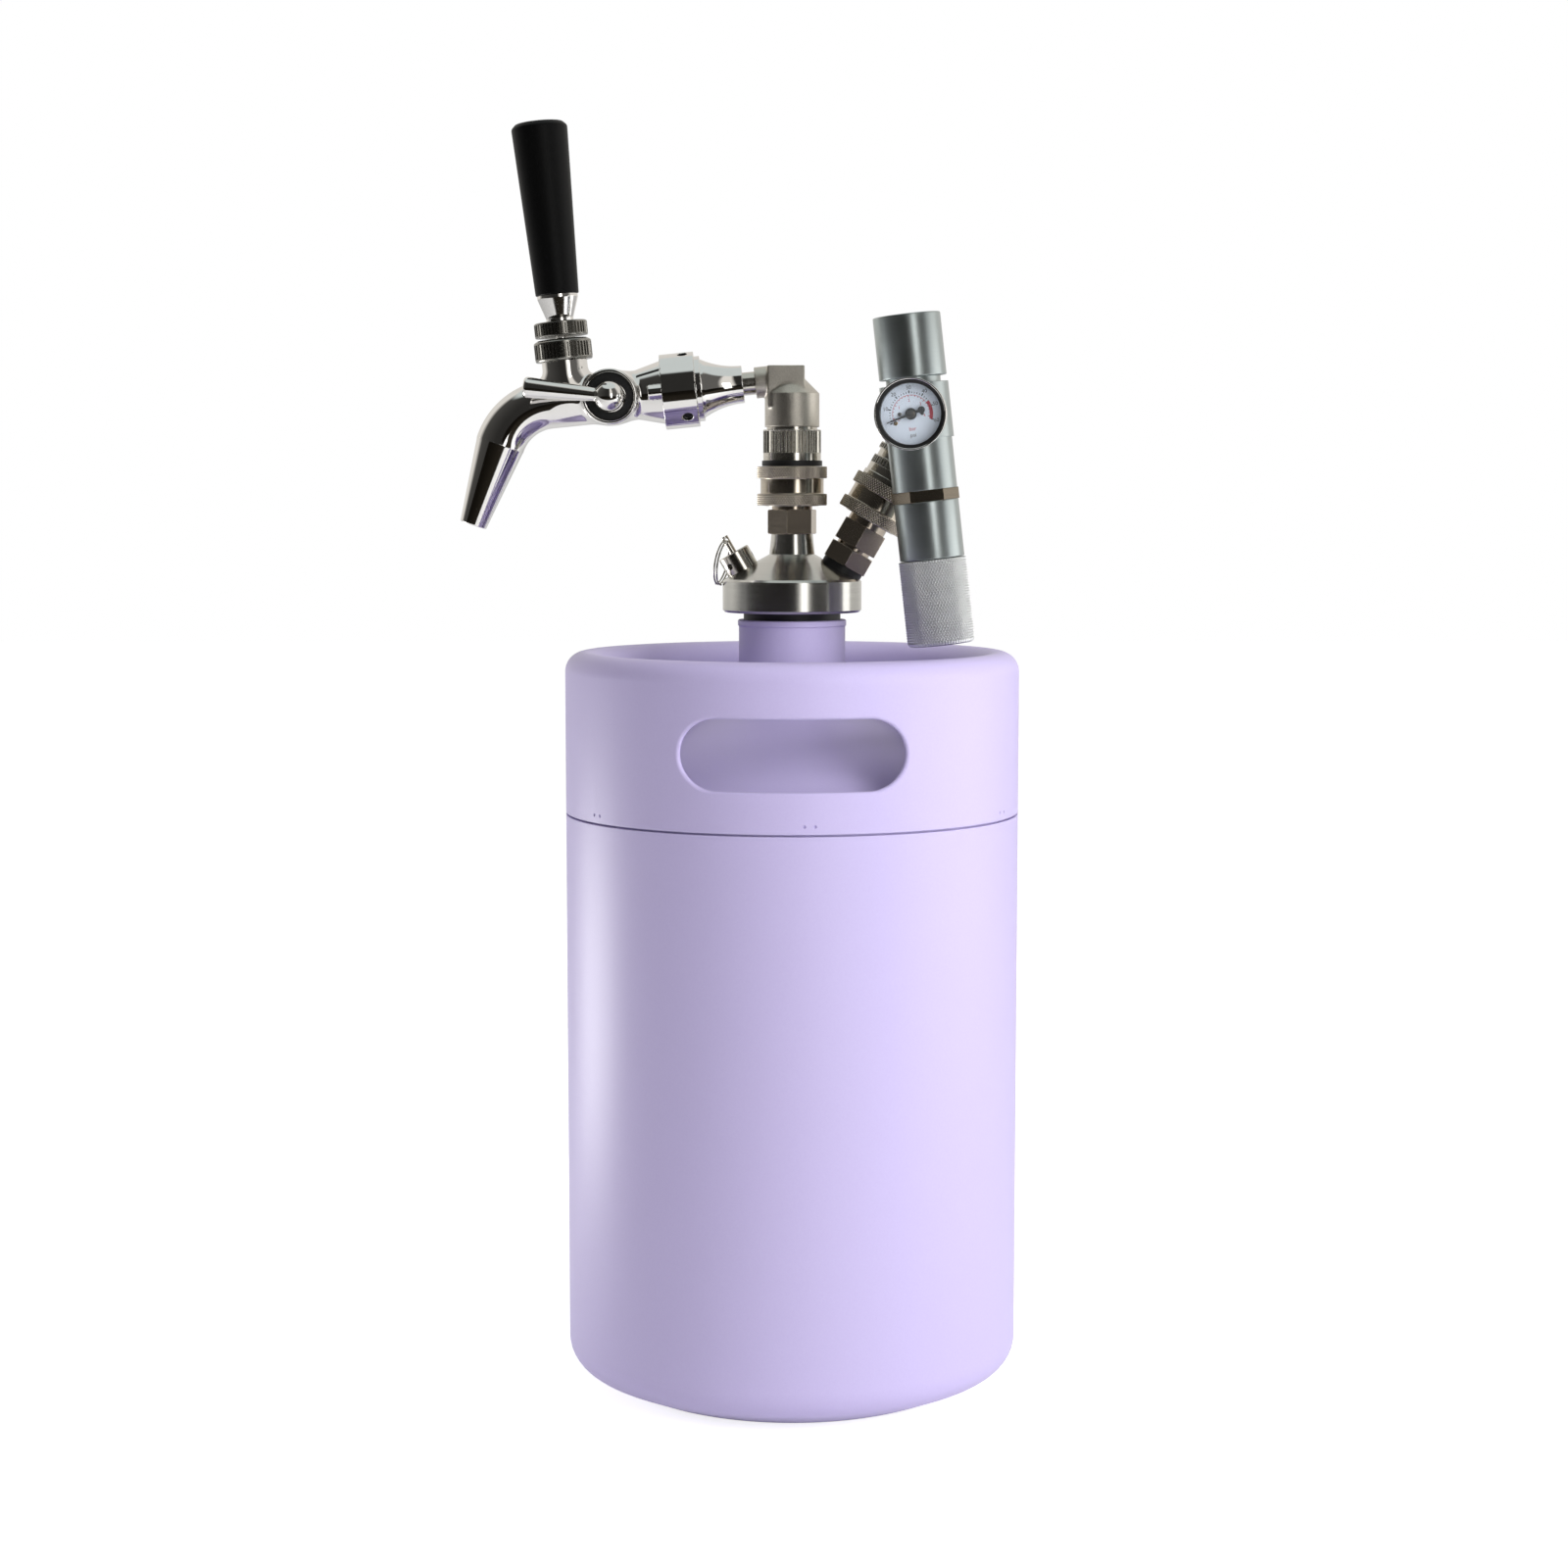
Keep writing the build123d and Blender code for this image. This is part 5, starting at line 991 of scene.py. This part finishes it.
def studio_world():
    """White to the camera, an even fill for the light, and a dim room with bright sides for reflections."""
    world = bpy.data.worlds.new("white_studio")
    bpy.context.scene.world = world
    world.use_nodes = True
    tree = world.node_tree
    tree.nodes.clear()
    white = (1, 1, 1, 1)
    coords = add(tree, "ShaderNodeTexCoord").outputs["Generated"]
    split = add(tree, "ShaderNodeSeparateXYZ", {0: coords}).outputs
    towards = add(tree, "ShaderNodeMath", {0: split[1], 1: -1.0}, operation="MULTIPLY").outputs[0]
    heading = add(tree, "ShaderNodeMath", {0: split[0], 1: towards}, operation="ARCTAN2").outputs[0]
    share = add(tree, "ShaderNodeMapRange", {0: heading, 1: -math.pi, 2: math.pi}).outputs[0]
    # Headings are degrees to the right of the camera, with how bright the room is there.
    room = ((-180, 0.8), (-118, 0.9), (-94, 0.08), (-20, 0.03), (7, 0.03), (12, 0.95), (27, 0.95),
            (33, 0.14), (66, 0.14), (88, 0.9), (180, 0.8))
    ramp = add(tree, "ShaderNodeValToRGB", {0: share})
    stops = ramp.color_ramp.elements
    while len(stops) < len(room):
        stops.new(0.5)
    for stop, (degrees, level) in zip(stops, room):
        stop.position = (degrees + 180) / 360
        stop.color = (level, level * 0.97, level * 0.92, 1)
    ceiling = add(tree, "ShaderNodeMapRange", {0: split[2], 1: 0.78, 2: 0.86},
                  interpolation_type="SMOOTHSTEP").outputs[0]
    sides = add(tree, "ShaderNodeMix", {0: ceiling, 6: ramp.outputs[0], 7: linear("#DCE4E4")},
                data_type="RGBA")
    mirrored = add(tree, "ShaderNodeBackground", {0: sides.outputs[2], 1: 1.0}).outputs[0]
    seen = add(tree, "ShaderNodeBackground", {0: white, 1: 1.0}).outputs[0]
    fill = add(tree, "ShaderNodeBackground", {0: white, 1: 0.31}).outputs[0]
    path = add(tree, "ShaderNodeLightPath").outputs
    glossy = add(tree, "ShaderNodeMixShader", {0: path["Is Glossy Ray"], 1: fill, 2: mirrored}).outputs[0]
    straight_on = add(tree, "ShaderNodeMath", {0: path["Is Camera Ray"], 1: path["Is Transmission Ray"]},
                      operation="MAXIMUM").outputs[0]
    shown = add(tree, "ShaderNodeMixShader", {0: straight_on, 1: glossy, 2: seen}).outputs[0]
    add(tree, "ShaderNodeOutputWorld", {0: shown})


def studio_floor():
    """White table that keeps the object's shadow; in reflections a dark floor begins where it ends."""
    reach, table_edge = 6.0, -0.6
    mesh = bpy.data.meshes.new("studio_floor")
    corners = [(-reach, -reach, 0), (reach, -reach, 0), (reach, reach, 0), (-reach, reach, 0)]
    mesh.from_pydata(corners, [], [(0, 1, 2, 3)])
    floor = bpy.data.objects.new("studio_floor", mesh)
    bpy.context.scene.collection.objects.link(floor)
    paper, tree, shader = material("white_paper", "#F4F4F4", 0.0, 0.9)
    glow = add(tree, "ShaderNodeEmission", {0: (1, 1, 1, 1), 1: 0.74}).outputs[0]
    lifted = add(tree, "ShaderNodeAddShader", {0: shader.outputs[0], 1: glow}).outputs[0]
    dim = add(tree, "ShaderNodeBsdfDiffuse", {0: linear("#2A2620")}).outputs[0]
    coords = add(tree, "ShaderNodeTexCoord").outputs["Object"]
    depth = add(tree, "ShaderNodeSeparateXYZ", {0: coords}).outputs[1]
    table = add(tree, "ShaderNodeMapRange", {0: depth, 1: table_edge - 0.05, 2: table_edge}).outputs[0]
    sheen = add(tree, "ShaderNodeEmission", {0: (1, 1, 1, 1), 1: 0.25}).outputs[0]
    lit = add(tree, "ShaderNodeAddShader", {0: shader.outputs[0], 1: sheen}).outputs[0]
    mirrored = add(tree, "ShaderNodeMixShader", {0: table, 1: dim, 2: lit}).outputs[0]
    path = add(tree, "ShaderNodeLightPath").outputs
    glossy = add(tree, "ShaderNodeMixShader", {0: path["Is Glossy Ray"], 1: shader.outputs[0], 2: mirrored})
    shown = add(tree, "ShaderNodeMixShader", {0: path["Is Camera Ray"], 1: glossy.outputs[0], 2: lifted})
    tree.links.new(shown.outputs[0], tree.nodes["Material Output"].inputs[0])
    mesh.materials.append(paper)


def softbox(name, spot, size, power, mirrored):
    """Hang an area light that looks at the middle of the keg; mirrored lights show in bright metal."""
    light = bpy.data.lights.new(name, "AREA")
    light.shape = "RECTANGLE"
    light.size, light.size_y = size
    light.energy = power
    lamp = bpy.data.objects.new(name, light)
    lamp.location = spot
    aim = Vector((0, 0, 0.25)) - Vector(spot)
    lamp.rotation_euler = aim.to_track_quat("-Z", "Y").to_euler()
    lamp.visible_camera = False
    lamp.visible_glossy = mirrored
    bpy.context.scene.collection.objects.link(lamp)


bpy.context.scene.view_settings.view_transform = "Standard"
photo_camera()
studio_world()
studio_floor()
softbox("key_softbox", spot=(1.06, -0.93, 0.78), size=(0.9, 1.3), power=17.5, mirrored=False)
softbox("strip_box", spot=(0.51, -1.41, 0.4), size=(0.3, 0.9), power=1.9, mirrored=True)
softbox("right_panel", spot=(1.35, -0.1, 0.3), size=(1.2, 0.6), power=3, mirrored=True)
softbox("left_strip", spot=(-0.52, 0.17, 0.08), size=(0.28, 0.2), power=1.25, mirrored=True)
softbox("top_box", spot=(0.2, -0.2, 1.6), size=(1.0, 1.0), power=4, mirrored=False)
